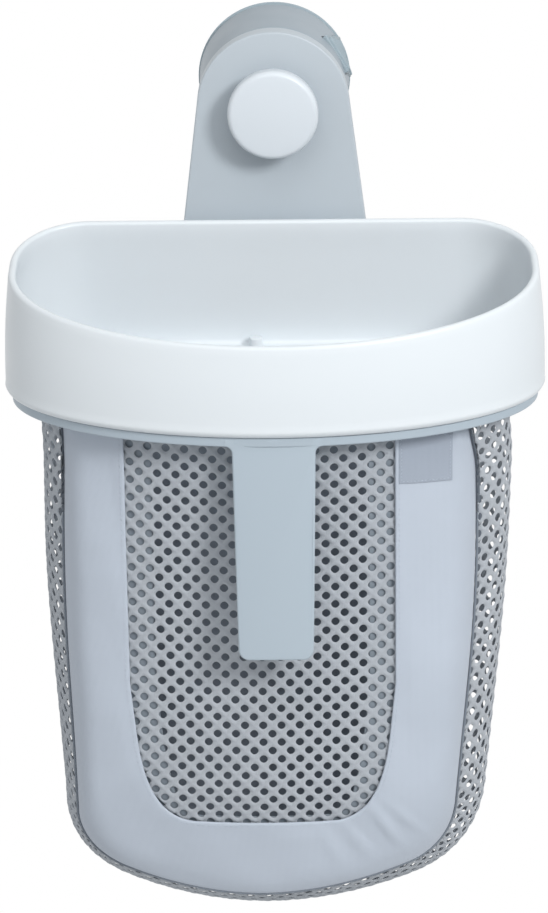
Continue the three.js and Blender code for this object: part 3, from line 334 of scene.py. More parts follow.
# Fabrics as (colour, roughness, pitch of the threads, height of the threads)
FABRICS = {
    "panel cloth": ((194, 203, 215), 0.85, 0.0005, 0.00003),
    # The back panel's cloth is darkened as painted shade of the bag's inside.
    "back cloth": ((132, 140, 150), 0.85, 0.0005, 0.00003),
    # The facing's cloth, which also makes the hem, is darker than the panel's as painted shade of the
    # bag's inside.
    "facing cloth": ((142, 152, 162), 0.85, 0.0005, 0.00003),
    "patch cloth": ((166, 175, 188), 0.85, 0.0005, 0.00003),
    "net yarn": ((188, 194, 201), 0.75, 0.0003, 0.00006),
    "seam tape": ((96, 104, 114), 0.85, 0.0004, 0.00003),
    # The binding's dark tone is partly the real binding and partly a painted shadow of the seam's crease.
    "binding tape": ((128, 136, 146), 0.85, 0.0004, 0.00003),
    "thread": ((186, 195, 207), 0.7, 0.0002, 0.00003),
}
PLASTIC_FLOW = 0.00006
PLASTIC_GLOW = 0.004
METAL_RELIEF = 0.00001
CREASE_RELIEF = 0.0006
CLOTH_SHINE = {"Sheen Weight": 0.25, "Sheen Roughness": 0.5, "Specular IOR Level": 0.25}
TONE_SHARES = (0.955, 1.025)

# Camera, fitted to the photograph
CAMERA_DISTANCE = 1.60176
CAMERA_ELEVATION = math.radians(21.27)
CAMERA_ROLL = math.radians(0.81)
CAMERA_TURN = math.radians(0.94)
CAMERA_TARGET = (-0.00094, -0.1, -0.14149)
CAMERA_NEAR = 0.05
PHOTO_HEIGHT = 913
FOCAL_PIXELS = 3725.71
SENSOR = 24

# Lamps as (name, place, aim, side of the square, watts), the world's light and the floor
LAMPS = (
    ("key", (0.86, -1.35, 0.84), (0, -0.1, -0.15), 0.4, 17.2),
    ("fill", (-1.3, -1.2, 0.35), (0, -0.1, -0.15), 1.2, 1.6),
    ("top", (0, -1.15, 1.2), (0, -0.1, -0.1), 1.1, 6.0),
)
WORLD_TINT = (0.97, 0.985, 1, 1)
WORLD_LIGHT = 0.475
FLOOR_COLOUR = (232, 233, 234)
FLOOR_Z = -1.1
FLOOR_HALF = 4


def link_object(name, data):
    obj = bpy.data.objects.new(name, data)
    bpy.context.scene.collection.objects.link(obj)
    return obj


def put_camera():
    data = bpy.data.cameras.new("camera")
    data.sensor_fit = "VERTICAL"
    data.sensor_height = SENSOR
    data.lens = FOCAL_PIXELS / PHOTO_HEIGHT * SENSOR
    data.clip_start = CAMERA_NEAR
    camera = link_object("camera", data)
    s, c = math.sin(CAMERA_ELEVATION), math.cos(CAMERA_ELEVATION)
    axes = Matrix(((1, 0, 0), (0, s, -c), (0, c, s))).to_4x4()
    target = Vector(CAMERA_TARGET)
    eye = target + CAMERA_DISTANCE * Vector((0, -c, s))
    pivot = Matrix.Translation((0, target.y, 0))
    turn = pivot @ Matrix.Rotation(CAMERA_TURN, 4, "Z") @ pivot.inverted()
    roll = Matrix.Rotation(-CAMERA_ROLL, 4, "Z")
    camera.matrix_world = turn @ Matrix.Translation(eye) @ axes @ roll
    bpy.context.scene.camera = camera


# Mesh helpers


def shade(mesh, smooth_angle=BLOCK_ANGLE):
    mesh.shade_smooth()
    mesh.set_sharp_from_angle(angle=math.radians(smooth_angle))


def add_object(name, mesh, smooth_angle=BLOCK_ANGLE):
    shade(mesh, smooth_angle)
    return link_object(name, mesh)


def object_from(bm, name):
    mesh = bpy.data.meshes.new(name)
    bm.to_mesh(mesh)
    bm.free()
    return add_object(name, mesh)


def make_object(name, points, faces, smooth_angle=BLOCK_ANGLE):
    mesh = bpy.data.meshes.new(name)
    mesh.from_pydata([tuple(p) for p in points], [], [tuple(f) for f in faces])
    mesh.validate()
    bm = bmesh.new()
    bm.from_mesh(mesh)
    bmesh.ops.remove_doubles(bm, verts=bm.verts, dist=WELD)
    bmesh.ops.dissolve_degenerate(bm, edges=bm.edges, dist=WELD)
    bmesh.ops.recalc_face_normals(bm, faces=bm.faces)
    bm.to_mesh(mesh)
    bm.free()
    return add_object(name, mesh, smooth_angle)


def join_parts(name, parts):
    """One object of several, which may pass through each other."""
    bm = bmesh.new()
    for part in parts:
        part.data.transform(part.matrix_world)
        bm.from_mesh(part.data)
    for part in parts:
        bpy.data.objects.remove(part)
    return object_from(bm, name)


def cut_away(obj, tool):
    modifier = obj.modifiers.new("cut", "BOOLEAN")
    modifier.operation = "DIFFERENCE"
    modifier.solver = "EXACT"
    modifier.object = tool
    graph = bpy.context.evaluated_depsgraph_get()
    mesh = bpy.data.meshes.new_from_object(obj.evaluated_get(graph))
    obj.modifiers.clear()
    obj.data = mesh
    shade(mesh)
    bpy.data.objects.remove(tool)


def dress(obj, body, material, slot_name, *nodes):
    obj.data.materials.clear()
    obj.data.materials.append(material)
    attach(obj, body)
    if nodes:
        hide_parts(*nodes)
    return obj


def grid_faces(index):
    """Faces between the neighbouring rows and columns of a grid of point numbers."""
    corners = [index[:-1, :-1], index[:-1, 1:], index[1:, 1:], index[1:, :-1]]
    return np.stack(corners, axis=-1).reshape(-1, 4).tolist()


def loop_faces(rows, columns, closed_rows=True):
    """Faces between rings of points, from ring to ring and, if closed, from the last to the first."""
    index = np.arange(rows * columns).reshape(rows, columns)
    index = np.hstack([index, index[:, :1]])
    return grid_faces(np.vstack([index, index[:1]]) if closed_rows else index)


def capped_faces(rows, columns):
    """Faces between open rings of points, and one over each end."""
    last = (rows - 1) * columns
    ends = [list(range(columns)), list(range(last, last + columns))]
    return loop_faces(rows, columns, closed_rows=False) + ends


def arc(x, y, radius, start, end, steps):
    """Points of an arc, with its angles in degrees."""
    points = []
    for i in range(steps + 1):
        turn = math.radians(start + (end - start) * i / steps)
        points.append((x + radius * math.cos(turn), y + radius * math.sin(turn)))
    return points


def bezier(start, control, end, steps):
    start, control, end = np.array((start, control, end))
    t = np.linspace(0, 1, steps + 1)[:, None]
    return (start * (1 - t) ** 2 + 2 * control * t * (1 - t) + end * t * t).tolist()


def revolved(name, profile, sides, place):
    """A profile of (radius, height) turned about an axis, with each point moved to its place by place."""
    points = []
    for k in range(sides):
        turn = 2 * math.pi * k / sides
        points += [place(r * math.cos(turn), r * math.sin(turn), height) for r, height in profile]
    return make_object(name, points, loop_faces(sides, len(profile)), TURNED_ANGLE)


def turned(name, profile, sides=128):
    """A profile of (radius, depth from the wall) turned about the cup's axis."""
    return revolved(name, profile, sides, lambda x, z, depth: (x, -depth, z))


def upright(name, profile, x, y, sides=32):
    """A profile of (radius, height) turned about an upright axis at x and y."""
    return revolved(name, profile, sides, lambda across, back, z: (x + across, y + back, z))


def rounded_block(name, x, y, z, edge, segments=3):
    """A block from low to high x, y and z."""
    bm = bmesh.new()
    bmesh.ops.create_cube(bm, size=1)
    bmesh.ops.scale(bm, vec=[high - low for low, high in (x, y, z)], verts=bm.verts)
    bmesh.ops.translate(bm, vec=[(low + high) / 2 for low, high in (x, y, z)], verts=bm.verts)
    bmesh.ops.bevel(bm, geom=bm.edges[:], offset=edge, segments=segments, profile=0.5, affect="EDGES")
    return object_from(bm, name)


def shell_plate(name, outline_at, front, rings):
    """A plate drawn in X and Z, with rings of (inset, depth behind the front) from its face round."""
    points = []
    count = 0
    for inset, depth in rings:
        line = outline_at(inset)
        count = len(line)
        points += [(x, -front + depth, z) for x, z in line]
    return make_object(name, points, capped_faces(len(rings), count), PLATE_ANGLE)


def edge_rings(edge, steps=5):
    """Rings of a rounded edge from the face down to the side."""
    turns = [math.pi / 2 * i / steps for i in range(steps + 1)]
    return [(edge * (1 - math.sin(turn)), edge * (1 - math.cos(turn))) for turn in turns]


def shell_rings(thickness, edge, wall, floor):
    """Rings of a plate of that thickness, hollow behind, with that wall and front floor."""
    small = edge / 3
    rings = edge_rings(edge) + [(0, thickness - small), (small, thickness)]
    rings += [(wall - small, thickness), (wall, thickness - small)]
    return rings + [(wall, floor + small), (wall + small, floor)]


def smooth_step(t):
    t = np.clip(t, 0, 1)
    return t * t * (3 - 2 * t)


def run_lengths(points):
    """How far along a line each of its points is."""
    steps = np.linalg.norm(np.diff(np.asarray(points), axis=0), axis=1)
    return np.concatenate([[0], np.cumsum(steps)])


def line_length(points):
    return float(run_lengths(points)[-1])


# Plan of the basket: flat behind, short straight sides, half an ellipse in front


def plan_line(corner_steps=18, front_steps=150, back_steps=24, side_steps=5):
    """Places as (x, y, nx, ny), with n facing out, from the right side round by the back."""
    corner_y = RIM_BACK - RIM_CORNER
    corner_x = RIM_HALF_WIDTH - RIM_CORNER
    places = []

    def put_side(sign, start, end):
        for i in range(side_steps):
            places.append((sign * RIM_HALF_WIDTH, start + (end - start) * i / side_steps, sign, 0))

    def put_corner(sign, first):
        for i in range(corner_steps):
            turn = math.pi / 2 * (first + i / corner_steps)
            nx, ny = math.cos(turn), math.sin(turn)
            places.append((sign * corner_x + RIM_CORNER * nx, corner_y + RIM_CORNER * ny, nx, ny))

    put_side(1, RIM_MIDDLE, corner_y)
    put_corner(1, 0)
    places += [(corner_x * (1 - 2 * i / back_steps), RIM_BACK, 0, 1) for i in range(back_steps)]
    put_corner(-1, 1)
    put_side(-1, corner_y, RIM_MIDDLE)
    for i in range(front_steps):
        turn = math.pi * (1 + i / front_steps)
        x = RIM_HALF_WIDTH * math.cos(turn)
        y = RIM_MIDDLE + RIM_FRONT_DEPTH * math.sin(turn)
        nx, ny = math.cos(turn) / RIM_HALF_WIDTH, math.sin(turn) / RIM_FRONT_DEPTH
        size = math.hypot(nx, ny)
        places.append((x, y, nx / size, ny / size))
    return places


PLAN = plan_line()


def plan_point(place, inset):
    x, y, nx, ny = place
    return x - nx * inset, y - ny * inset


def carried_round(name, section_at):
    """A section of (inset, height over the rim's bottom) carried round the plan."""
    points = []
    columns = 0
    for place in PLAN:
        section = section_at(place)
        columns = len(section)
        points += [(*plan_point(place, inset), RIM_BOTTOM + height) for inset, height in section]
    return make_object(name, points, loop_faces(len(PLAN), columns))


def place_at_share(share):
    """The place at that share of the plan's turn, counted from the right back corner."""
    first = next(i for i, place in enumerate(PLAN) if place[3] > 0) - 1
    ring = np.array(PLAN[first:] + PLAN[:first + 1])
    lengths = run_lengths(ring[:, :2])
    return tuple(float(np.interp(share * lengths[-1], lengths, column)) for column in ring.T)


def screw_places():
    return [place_at_share((i + 0.5) / SCREW_COUNT) for i in range(SCREW_COUNT)]


# Materials


def to_linear(c):
    c = c / 255
    return c / 12.92 if c <= 0.04045 else ((c + 0.055) / 1.055) ** 2.4


def linear_colour(rgb):
    return (*[to_linear(c) for c in rgb], 1)


def fill_inputs(tree, node, inputs):
    """Links an input that is given a node's output, and sets any other."""
    for key, value in inputs.items():
        if isinstance(value, bpy.types.NodeSocket):
            tree.links.new(value, node.inputs[key])
        else:
            node.inputs[key].default_value = value


def add_node(tree, kind, inputs, **settings):
    node = tree.nodes.new("ShaderNode" + kind)
    for key, value in settings.items():
        setattr(node, key, value)
    fill_inputs(tree, node, inputs)
    return node


def new_material(name, rgb, inputs):
    """A material with its node tree and its shader."""
    material = bpy.data.materials.new(name)
    material.use_nodes = True
    tree = material.node_tree
    shader = tree.nodes["Principled BSDF"]
    fill_inputs(tree, shader, {"Base Color": linear_colour(rgb), **inputs})
    return material, tree, shader


def object_coordinates(tree):
    return tree.nodes.new("ShaderNodeTexCoord").outputs["Object"]


def add_noise(tree, scale, detail=3):
    inputs = {"Scale": scale, "Detail": detail, "Vector": object_coordinates(tree)}
    return add_node(tree, "TexNoise", inputs).outputs["Fac"]


def add_bump(tree, height, distance, **before):
    return add_node(tree, "Bump", {"Distance": distance, "Height": height, **before}).outputs["Normal"]


def spread(tree, fac, low, high):
    """A value from low to high, by a noise."""
    inputs = {"From Min": 0.3, "From Max": 0.7, "To Min": low, "To Max": high, "Value": fac}
    return add_node(tree, "MapRange", inputs).outputs["Result"]


def plastic(name, rgb, roughness, grain, subsurface):
    """Moulded plastic: a fine grain, faint flow and a little unevenness in its shine."""
    material, tree, shader = new_material(name, rgb, {"Roughness": roughness, "IOR": 1.46})
    if subsurface:
        glow = {"Subsurface Weight": subsurface, "Subsurface Radius": (PLASTIC_GLOW,) * 3}
        fill_inputs(tree, shader, {**glow, "Subsurface Scale": 0.5})
    shine = spread(tree, add_noise(tree, 60), roughness - 0.04, roughness + 0.05)
    fine = add_bump(tree, add_noise(tree, 2600, 2), grain)
    broad = add_bump(tree, add_noise(tree, 38, 1), PLASTIC_FLOW, Normal=fine)
    fill_inputs(tree, shader, {"Roughness": shine, "Normal": broad})
    return material


def metal(name, rgb, roughness):
    material, tree, shader = new_material(name, rgb, {"Roughness": roughness, "Metallic": 1})
    shine = spread(tree, add_noise(tree, 900), roughness - 0.08, roughness + 0.1)
    relief = add_bump(tree, add_noise(tree, 3000, 2), METAL_RELIEF)
    fill_inputs(tree, shader, {"Roughness": shine, "Normal": relief})
    return material


def weave_height(tree, pitch):
    """The height of a plain weave whose threads run along the object's X and Z."""
    waves = {}
    for k, axis in enumerate("XZ"):
        inputs = {"Vector": object_coordinates(tree), "Scale": 1 / pitch / math.pi}
        inputs.update({"Distortion": 0.6, "Detail": 1})
        wave = add_node(tree, "TexWave", inputs, wave_type="BANDS", bands_direction=axis)
        waves[k] = wave.outputs["Fac"]
    return add_node(tree, "Math", waves, operation="ADD").outputs["Value"]


def fabric(name, rgb, roughness, pitch, relief):
    """Woven cloth: its threads as relief, soft creases, and a colour that varies a little."""
    material, tree, shader = new_material(name, rgb, {"Roughness": roughness, **CLOTH_SHINE})
    dark, light = [linear_colour([min(255, c * share) for c in rgb]) for share in TONE_SHARES]
    clouds = add_noise(tree, 26, 4)
    tones = add_node(tree, "Mix", {"A": dark, "B": light, "Factor": clouds}, data_type="RGBA")
    creases = add_bump(tree, add_noise(tree, 34, 3), CREASE_RELIEF)
    threads = add_bump(tree, weave_height(tree, pitch), relief, Normal=creases)
    fill_inputs(tree, shader, {"Base Color": tones.outputs["Result"], "Normal": threads})
    return material


# Suction cup, drum and bracket


def cup_body():
    land = CUP_RADIUS - CUP_LAND
    profile = [(0, CUP_CEILING)]
    profile += [(land * t, CUP_CEILING * (1 - t ** 3)) for t in np.linspace(0.1, 0.97, 14)]
    profile += [
        (land, CUP_EDGE * CUP_FOOT_SHARE),
        (land + CUP_EDGE, 0),
        (CUP_RADIUS - CUP_EDGE / 2, 0),
        (CUP_RADIUS, CUP_EDGE / 2),
        (CUP_RADIUS, CUP_EDGE),
        (land + CUP_EDGE, CUP_SKIN),
        (CUP_BOSS_RADIUS + CUP_SKIN, CUP_HOLLOW + CUP_SKIN),
        (CUP_BOSS_RADIUS, CUP_HOLLOW + 2 * CUP_SKIN),
        (CUP_BOSS_RADIUS - CUP_EDGE, CUP_BOSS_HEIGHT),
        (CUP_NECK, CUP_BOSS_HEIGHT),
        (CUP_NECK, CUP_HOLLOW + CUP_EDGE),
        (0, CUP_HOLLOW + CUP_EDGE),
    ]
    return turned("cup_body", profile, 96)


def turn_tab(obj):
    """Turns a piece of the tab to its place round the cup, the further from the wall the more."""
    for v in obj.data.vertices:
        share = max(0, -v.co.y - TAB_FIRST) / TAB_LENGTH
        v.co = Matrix.Rotation(-math.radians(TAB_ANGLE + TAB_TWIST * share), 4, "Y") @ v.co
    return obj


def cup_tab():
    half = TAB_WIDTH / 2
    foot = -CUP_EDGE / 4
    parts = []
    for name, x, depth in (
        ("tab", (TAB_INNER, TAB_OUTER), TAB_FIRST + TAB_LENGTH),
        ("tab_foot", (TAB_INNER - CUP_LAND / 2, TAB_OUTER - TAB_EDGE), TAB_FIRST - CUP_EDGE),
    ):
        parts.append(rounded_block(name, x, (-depth, foot), (-half, half), TAB_EDGE))
    rib = half - TAB_RIB_WIDTH
    for i in range(TAB_RIBS):
        share = (i + 0.5) / TAB_RIBS
        depth = TAB_FIRST + TAB_RIB_WIDTH + (TAB_LENGTH - 2 * TAB_RIB_WIDTH) * share
        parts.append(rounded_block(
            "tab_rib",
            (TAB_OUTER - TAB_RIB_HEIGHT, TAB_OUTER + TAB_RIB_HEIGHT),
            (-depth - TAB_RIB_WIDTH / 2, -depth + TAB_RIB_WIDTH / 2), (-rib, rib),
            TAB_EDGE,
        ))
    return [turn_tab(part) for part in parts]


def build_cup(material):
    cup = join_parts("suction_cup_skin", [cup_body(), *cup_tab()])
    dress(cup, "mount", material, "soft_grey", "suction_cup")


def drum_profile():
    front = DRUM_LIFT + DRUM_DEPTH
    face = front - DRUM_SHOULDER
    hub_end = BRACKET_FRONT - BRACKET_PLATE - SEAT_GAP
    bore = STUD_RADIUS + SEAT_GAP
    hub_inner = DRUM_HUB_RADIUS - DRUM_WALL
    inner = DRUM_TOP_RADIUS - DRUM_WALL
    lip = DRUM_WALL / 2
    profile = [(DRUM_MOUTH_RADIUS - DRUM_WALL, DRUM_LIFT)]
    profile += arc(DRUM_MOUTH_RADIUS - lip, DRUM_LIFT + lip / 2, lip, -120, 0, 8)
    profile += [(DRUM_TOP_RADIUS, face)]
    profile += arc(DRUM_TOP_RADIUS - DRUM_SHOULDER, face, DRUM_SHOULDER, 5, 90, 10)
    profile += [
        (DRUM_HUB_RADIUS + DRUM_WALL, front),
        (DRUM_HUB_RADIUS, front + DRUM_WALL),
        (DRUM_HUB_RADIUS, hub_end),
        (bore, hub_end),
        (bore, front - 2 * DRUM_WALL),
        (hub_inner, front - 2 * DRUM_WALL),
        (hub_inner, front - DRUM_WALL),
        (inner - DRUM_SHOULDER, front - DRUM_WALL),
        (inner, face - DRUM_WALL),
    ]
    return profile


def build_drum(material):
    """The drum, with a notch round the cup's tab."""
    drum = turned("housing_drum_skin", drum_profile())
    half = TAB_WIDTH / 2 + SLIDE_GAP
    tool = rounded_block(
        "notch",
        (TAB_INNER - CUP_LAND / 2 - SLIDE_GAP, DRUM_MOUTH_RADIUS + DRUM_WALL),
        (-(TAB_FIRST + TAB_LENGTH + SLIDE_GAP), DRUM_WALL), (-half, half),
        TAB_EDGE,
    )
    cut_away(drum, turn_tab(tool))
    dress(drum, "mount", material, "grey_plastic", "housing_drum")


def bracket_outline(inset):
    """The bracket's outline: a round top, and sides that flare down to the foot's rounded corners."""
    radius = BRACKET_RADIUS - inset
    foot = -(BRACKET_FOOT - inset)
    corner = max(BRACKET_CORNER - inset / 2, SMALL_EDGE)

    def side_x(z):
        return (radius - z * math.sin(BRACKET_FLARE)) / math.cos(BRACKET_FLARE)

    start, end = (side_x(foot) - corner, foot), (side_x(foot + corner), foot + corner)
    right = [(0, foot), (side_x(foot) / 2, foot)] + bezier(start, (side_x(foot), foot), end, 10)
    steps = 12
    lift = radius * math.sin(BRACKET_FLARE)
    for i in range(1, steps):
        z = end[1] + (lift - end[1]) * i / steps
        right.append((side_x(z), z))
    flare = math.degrees(BRACKET_FLARE)
    round_top = arc(0, 0, radius, flare, 180 - flare, 72)
    return right + round_top + [(-x, z) for x, z in reversed(right[1:])]


def round_topped(half, foot, top, corner):
    """An outline that is flat below and has rounded top corners."""
    side, low = half - corner, top - corner
    points = [(-half, foot), (half, foot)]
    return points + arc(side, low, corner, 0, 90, 8) + arc(-side, low, corner, 90, 180, 8)


def finger_outline(inset):
    return round_topped(FINGER_HALF - inset, SHELF_FOOT + inset, FINGER_TOP - inset, FINGER_NOSE)


def build_bracket(material):
    """The tongue plate, hollow and ribbed behind, with the finger that the basket hangs on."""
    depth = BRACKET_PLATE + BRACKET_SKIRT
    rings = shell_rings(depth, BRACKET_EDGE, BRACKET_SKIRT_WALL, BRACKET_PLATE)
    parts = [shell_plate("bracket_plate", bracket_outline, BRACKET_FRONT, rings)]
    inside = -(BRACKET_FRONT - BRACKET_PLATE / 2)
    depths = (inside, depth - BRACKET_FRONT)
    rib_ends = (-(BRACKET_FOOT - BRACKET_SKIRT_WALL / 2), -(DRUM_TOP_RADIUS + DRUM_WALL))
    for side in (-1, 0, 1):
        x = side * FINGER_HALF * 2 / 3
        rib = (x - RIB_WIDTH / 2, x + RIB_WIDTH / 2)
        parts.append(rounded_block("bracket_rib", rib, depths, rib_ends, SMALL_EDGE / 2))
    across = (-FINGER_HALF, FINGER_HALF)
    shelf = (SHELF_FOOT, -FINGER_SHELF_TOP)
    parts.append(rounded_block("bracket_shelf", across, (-FINGER_FRONT, inside), shelf, SMALL_EDGE))
    rings = edge_rings(SMALL_EDGE, 3)
    rings += [(0, FINGER_THICKNESS - SMALL_EDGE), (SMALL_EDGE, FINGER_THICKNESS)]
    parts.append(shell_plate("bracket_finger", finger_outline, FINGER_FRONT, rings))
    bracket = join_parts("wall_bracket_skin", parts)
    dress(bracket, "mount", material, "grey_plastic", "wall_bracket")


# Knob


def knob_profile():
    flat = KNOB_RADIUS - KNOB_FILLET
    rear = KNOB_WALL / 3
    inner = KNOB_RADIUS - KNOB_WALL
    floor = KNOB_FRONT - KNOB_WALL
    profile = [(INSERT_BORE, KNOB_NECK_START), (KNOB_NECK, KNOB_NECK_START), (KNOB_NECK, KNOB_REAR)]
    profile += [(KNOB_NECK, floor), (inner, floor), (inner, KNOB_REAR)]
    profile += arc(KNOB_RADIUS - rear, KNOB_REAR + rear, rear, -90, 0, 5)
    profile += arc(flat, KNOB_FRONT - KNOB_FILLET, KNOB_FILLET, 0, 82, 12)
    steps = 14
    for i in range(1, steps + 1):
        share = 1 - i / steps
        profile.append((flat * share, KNOB_FRONT + KNOB_CROWN * (1 - share ** 2)))
    return profile + [(0, floor), (INSERT_BORE, floor)]


def build_knob(material):
    parts = [turned("knob_body", knob_profile(), 144)]
    half = KNOB_RIB_WIDTH / 2
    for i in range(KNOB_RIBS):
        rib = rounded_block(
            "knob_rib",
            (KNOB_NECK - half, KNOB_RADIUS - KNOB_WALL / 2),
            (-(KNOB_FRONT - KNOB_WALL / 2), -(KNOB_REAR + half)), (-half, half),
            SMALL_EDGE / 2,
        )
        rib.data.transform(Matrix.Rotation(2 * math.pi * i / KNOB_RIBS, 4, "Y"))
        parts.append(rib)
    dress(join_parts("knob_skin", parts), "knob", material, "white_knob", "knob")


# Rim, ring, handle and screws


def rim_section(place):
    """The rim's section at a place: its height falls towards the front."""
    top = RIM_HEIGHT - RIM_DROP * (RIM_BACK - place[1]) / RIM_DEPTH
    lip = RIM_LIP / 2
    groove = RING_INSET - SEAT_GAP
    flange_top = FLANGE_RISE + FLANGE_THICKNESS

    def wall(low, high, t, behind):
        height = low + (high - low) * t
        return math.tan(RIM_DRAFT) * height - RIM_BULGE * math.sin(math.pi * t) + behind, height

    section = [(groove, 0), *arc(RIM_BOTTOM_ROUND, RIM_BOTTOM_ROUND, RIM_BOTTOM_ROUND, 270, 190, 8)]
    section += [wall(RIM_BOTTOM_ROUND, top - lip, i / 12, 0) for i in range(13)]
    section += arc(math.tan(RIM_DRAFT) * top + lip, top - lip, lip, 180, 0, 12)[1:]
    section += [(math.tan(RIM_DRAFT) * top + RIM_WALL, top - 2 * RIM_LIP)]
    section += [wall(flange_top + RIM_WALL, top - 2 * RIM_LIP, 1 - i / 8, RIM_WALL) for i in range(1, 9)]
    section += arc(section[-1][0] + RIM_WALL, flange_top + RIM_WALL, RIM_WALL, 180, 270, 6)[1:]
    section += [(FLANGE_INSET - SMALL_EDGE, flange_top), (FLANGE_INSET, flange_top - SMALL_EDGE)]
    return section + [(FLANGE_INSET, FLANGE_RISE), (groove, FLANGE_RISE)]


def socket_outline(inset):
    half = FINGER_HALF + SLIDE_GAP + SOCKET_WALL - inset
    top = FINGER_TOP + SEAT_GAP + SOCKET_TOP - inset
    return round_topped(half, SOCKET_FOOT, top, max(SOCKET_TOP - inset, SMALL_EDGE))


def rim_socket():
    """The pocket behind the rim that drops over the bracket's finger."""
    back = BRACKET_FRONT + SLIDE_GAP
    front = -RIM_BACK + RIM_WALL
    depth = front - back
    edge = 2 * SMALL_EDGE
    rings = [(0, 0), (0, depth - edge)]
    rings += [(inset, depth - fall) for inset, fall in reversed(edge_rings(edge, 4))]
    body = shell_plate("rim_socket", socket_outline, front, rings)
    inner = FINGER_HALF + SLIDE_GAP
    depths = (RIM_BACK, -back - SOCKET_WALL)
    heights = (SOCKET_FOOT - SOCKET_TOP, FINGER_TOP + SEAT_GAP)
    cut_away(body, rounded_block("socket_hollow", (-inner, inner), depths, heights, SMALL_EDGE))
    return body


def screw_boss(place):
    foot = RIM_BOTTOM + FLANGE_RISE
    top = foot + FLANGE_THICKNESS + SCREW_BOSS_HEIGHT
    profile = [(0, foot), (SCREW_BOSS_RADIUS, foot)]
    profile += arc(SCREW_BOSS_RADIUS - SMALL_EDGE, top - SMALL_EDGE, SMALL_EDGE, 0, 90, 4) + [(0, top)]
    return upright("screw_boss", profile, *plan_point(place, SCREW_INSET))


def build_rim(material):
    parts = [carried_round("rim_band", rim_section), rim_socket()]
    parts += [screw_boss(place) for place in screw_places()]
    dress(join_parts("basket_rim_skin", parts), "basket", material, "white_rim", "basket_rim")


def ring_section(_place):
    top = FLANGE_RISE - SEAT_GAP
    ledge_edge = LEDGE_INNER - SMALL_EDGE
    ledge_top = -RING_DROP + RING_LEDGE_THICKNESS
    section = [(RING_INSET, top), (RING_INSET, -RING_SEAM), (RING_OUTER, -RING_SEAM)]
    section += arc(RING_OUTER + RING_EDGE, -RING_DROP + RING_EDGE, RING_EDGE, 180, 270, 5)
    section += arc(ledge_edge, -RING_DROP + SMALL_EDGE, SMALL_EDGE, 270, 360, 3)
    section += arc(ledge_edge, ledge_top - SMALL_EDGE, SMALL_EDGE, 0, 90, 3)
    return section + [(RING_INNER, ledge_top), (RING_INNER, top)]


def handle_outline(inset):
    """The handle's outline, with fillets where it leaves the ring."""
    top = HANDLE_TOP_Z - inset
    end = HANDLE_END_Z + inset
    half_end = HANDLE_HALF_END - inset
    corner = max(HANDLE_CORNER - inset, SMALL_EDGE)
    fillet = HANDLE_FILLET + inset
    slope = (HANDLE_HALF_TOP - HANDLE_HALF_END) / HANDLE_LENGTH
    right = [(0, end), (half_end / 2, end)]
    right += arc(half_end - corner, end + corner, corner, 270, 360, 10)
    start = end + corner
    stop = RIM_BOTTOM - RING_DROP - HANDLE_FILLET
    steps = 16
    for i in range(1, steps + 1):
        z = start + (stop - start) * i / steps
        right.append((half_end + slope * (z - end), z))
    neck = right[-1][0] + fillet
    right += arc(neck, stop, fillet, 180, 90, 8)[1:] + [(neck, top)]
    return right + [(0, top)] + [(-x, z) for x, z in reversed(right[1:])]


def lean_handle(obj):
    """The handle leans towards the room, and its face follows the ring where it leaves it."""
    lean = math.tan(HANDLE_TILT)
    for v in obj.data.vertices:
        drop = max(0, HANDLE_TOP_Z - RING_DROP - v.co.z)
        follow = RIM_FRONT_DEPTH * (1 - math.sqrt(1 - min(1, (v.co.x / RIM_HALF_WIDTH) ** 2)))
        fade = 1 - float(smooth_step(drop / (HANDLE_LENGTH / 2)))
        v.co.y += follow * fade - drop * lean
    return obj


def handle_pockets():
    """Cutting blocks for the hollows behind the handle."""
    top = RIM_BOTTOM - RING_DROP - HANDLE_WALL
    end = HANDLE_END_Z + HANDLE_WALL
    cell = (top - end + HANDLE_WALL) / (HANDLE_RIBS + 1)
    half = HANDLE_HALF_END - HANDLE_WALL
    depths = (-(HANDLE_FRONT - HANDLE_WALL), -(HANDLE_FRONT - 2 * HANDLE_THICKNESS))
    tools = []
    for i in range(HANDLE_RIBS + 1):
        heights = (top - (i + 1) * cell + HANDLE_WALL, top - i * cell)
        tools.append(rounded_block("pocket", (-half, half), depths, heights, SMALL_EDGE))
    return tools


def build_ring(material):
    ring = carried_round("ring_band", ring_section)
    small = HANDLE_EDGE / 2
    rings = edge_rings(HANDLE_EDGE) + [(0, HANDLE_THICKNESS - small), (small, HANDLE_THICKNESS)]
    plate = shell_plate("handle_plate", handle_outline, HANDLE_FRONT, rings)
    for tool in handle_pockets():
        cut_away(plate, tool)
    handle = join_parts("handle_ring_skin", [ring, lean_handle(plate)])
    dress(handle, "basket", material, "grey_handle", "handle_ring")


def screw_profile():
    head_top = SCREW_BOTTOM + SCREW_HEAD_HEIGHT
    end = SCREW_BOTTOM + SCREW_LENGTH
    profile = [(0, SCREW_BOTTOM)]
    profile += arc(SCREW_HEAD_RADIUS - SMALL_EDGE, SCREW_BOTTOM + SMALL_EDGE, SMALL_EDGE, 270, 360, 4)
    profile += [(SCREW_HEAD_RADIUS, head_top), (SCREW_RADIUS, head_top)]
    for k in range(SCREW_TURNS):
        z = head_top + (end - head_top) * (k + 0.5) / SCREW_TURNS
        profile += [(SCREW_RADIUS, z - SMALL_EDGE / 2), (SCREW_RADIUS * SCREW_ROOT_SHARE, z)]
    return profile + [(SCREW_RADIUS / 2, end), (0, end)]


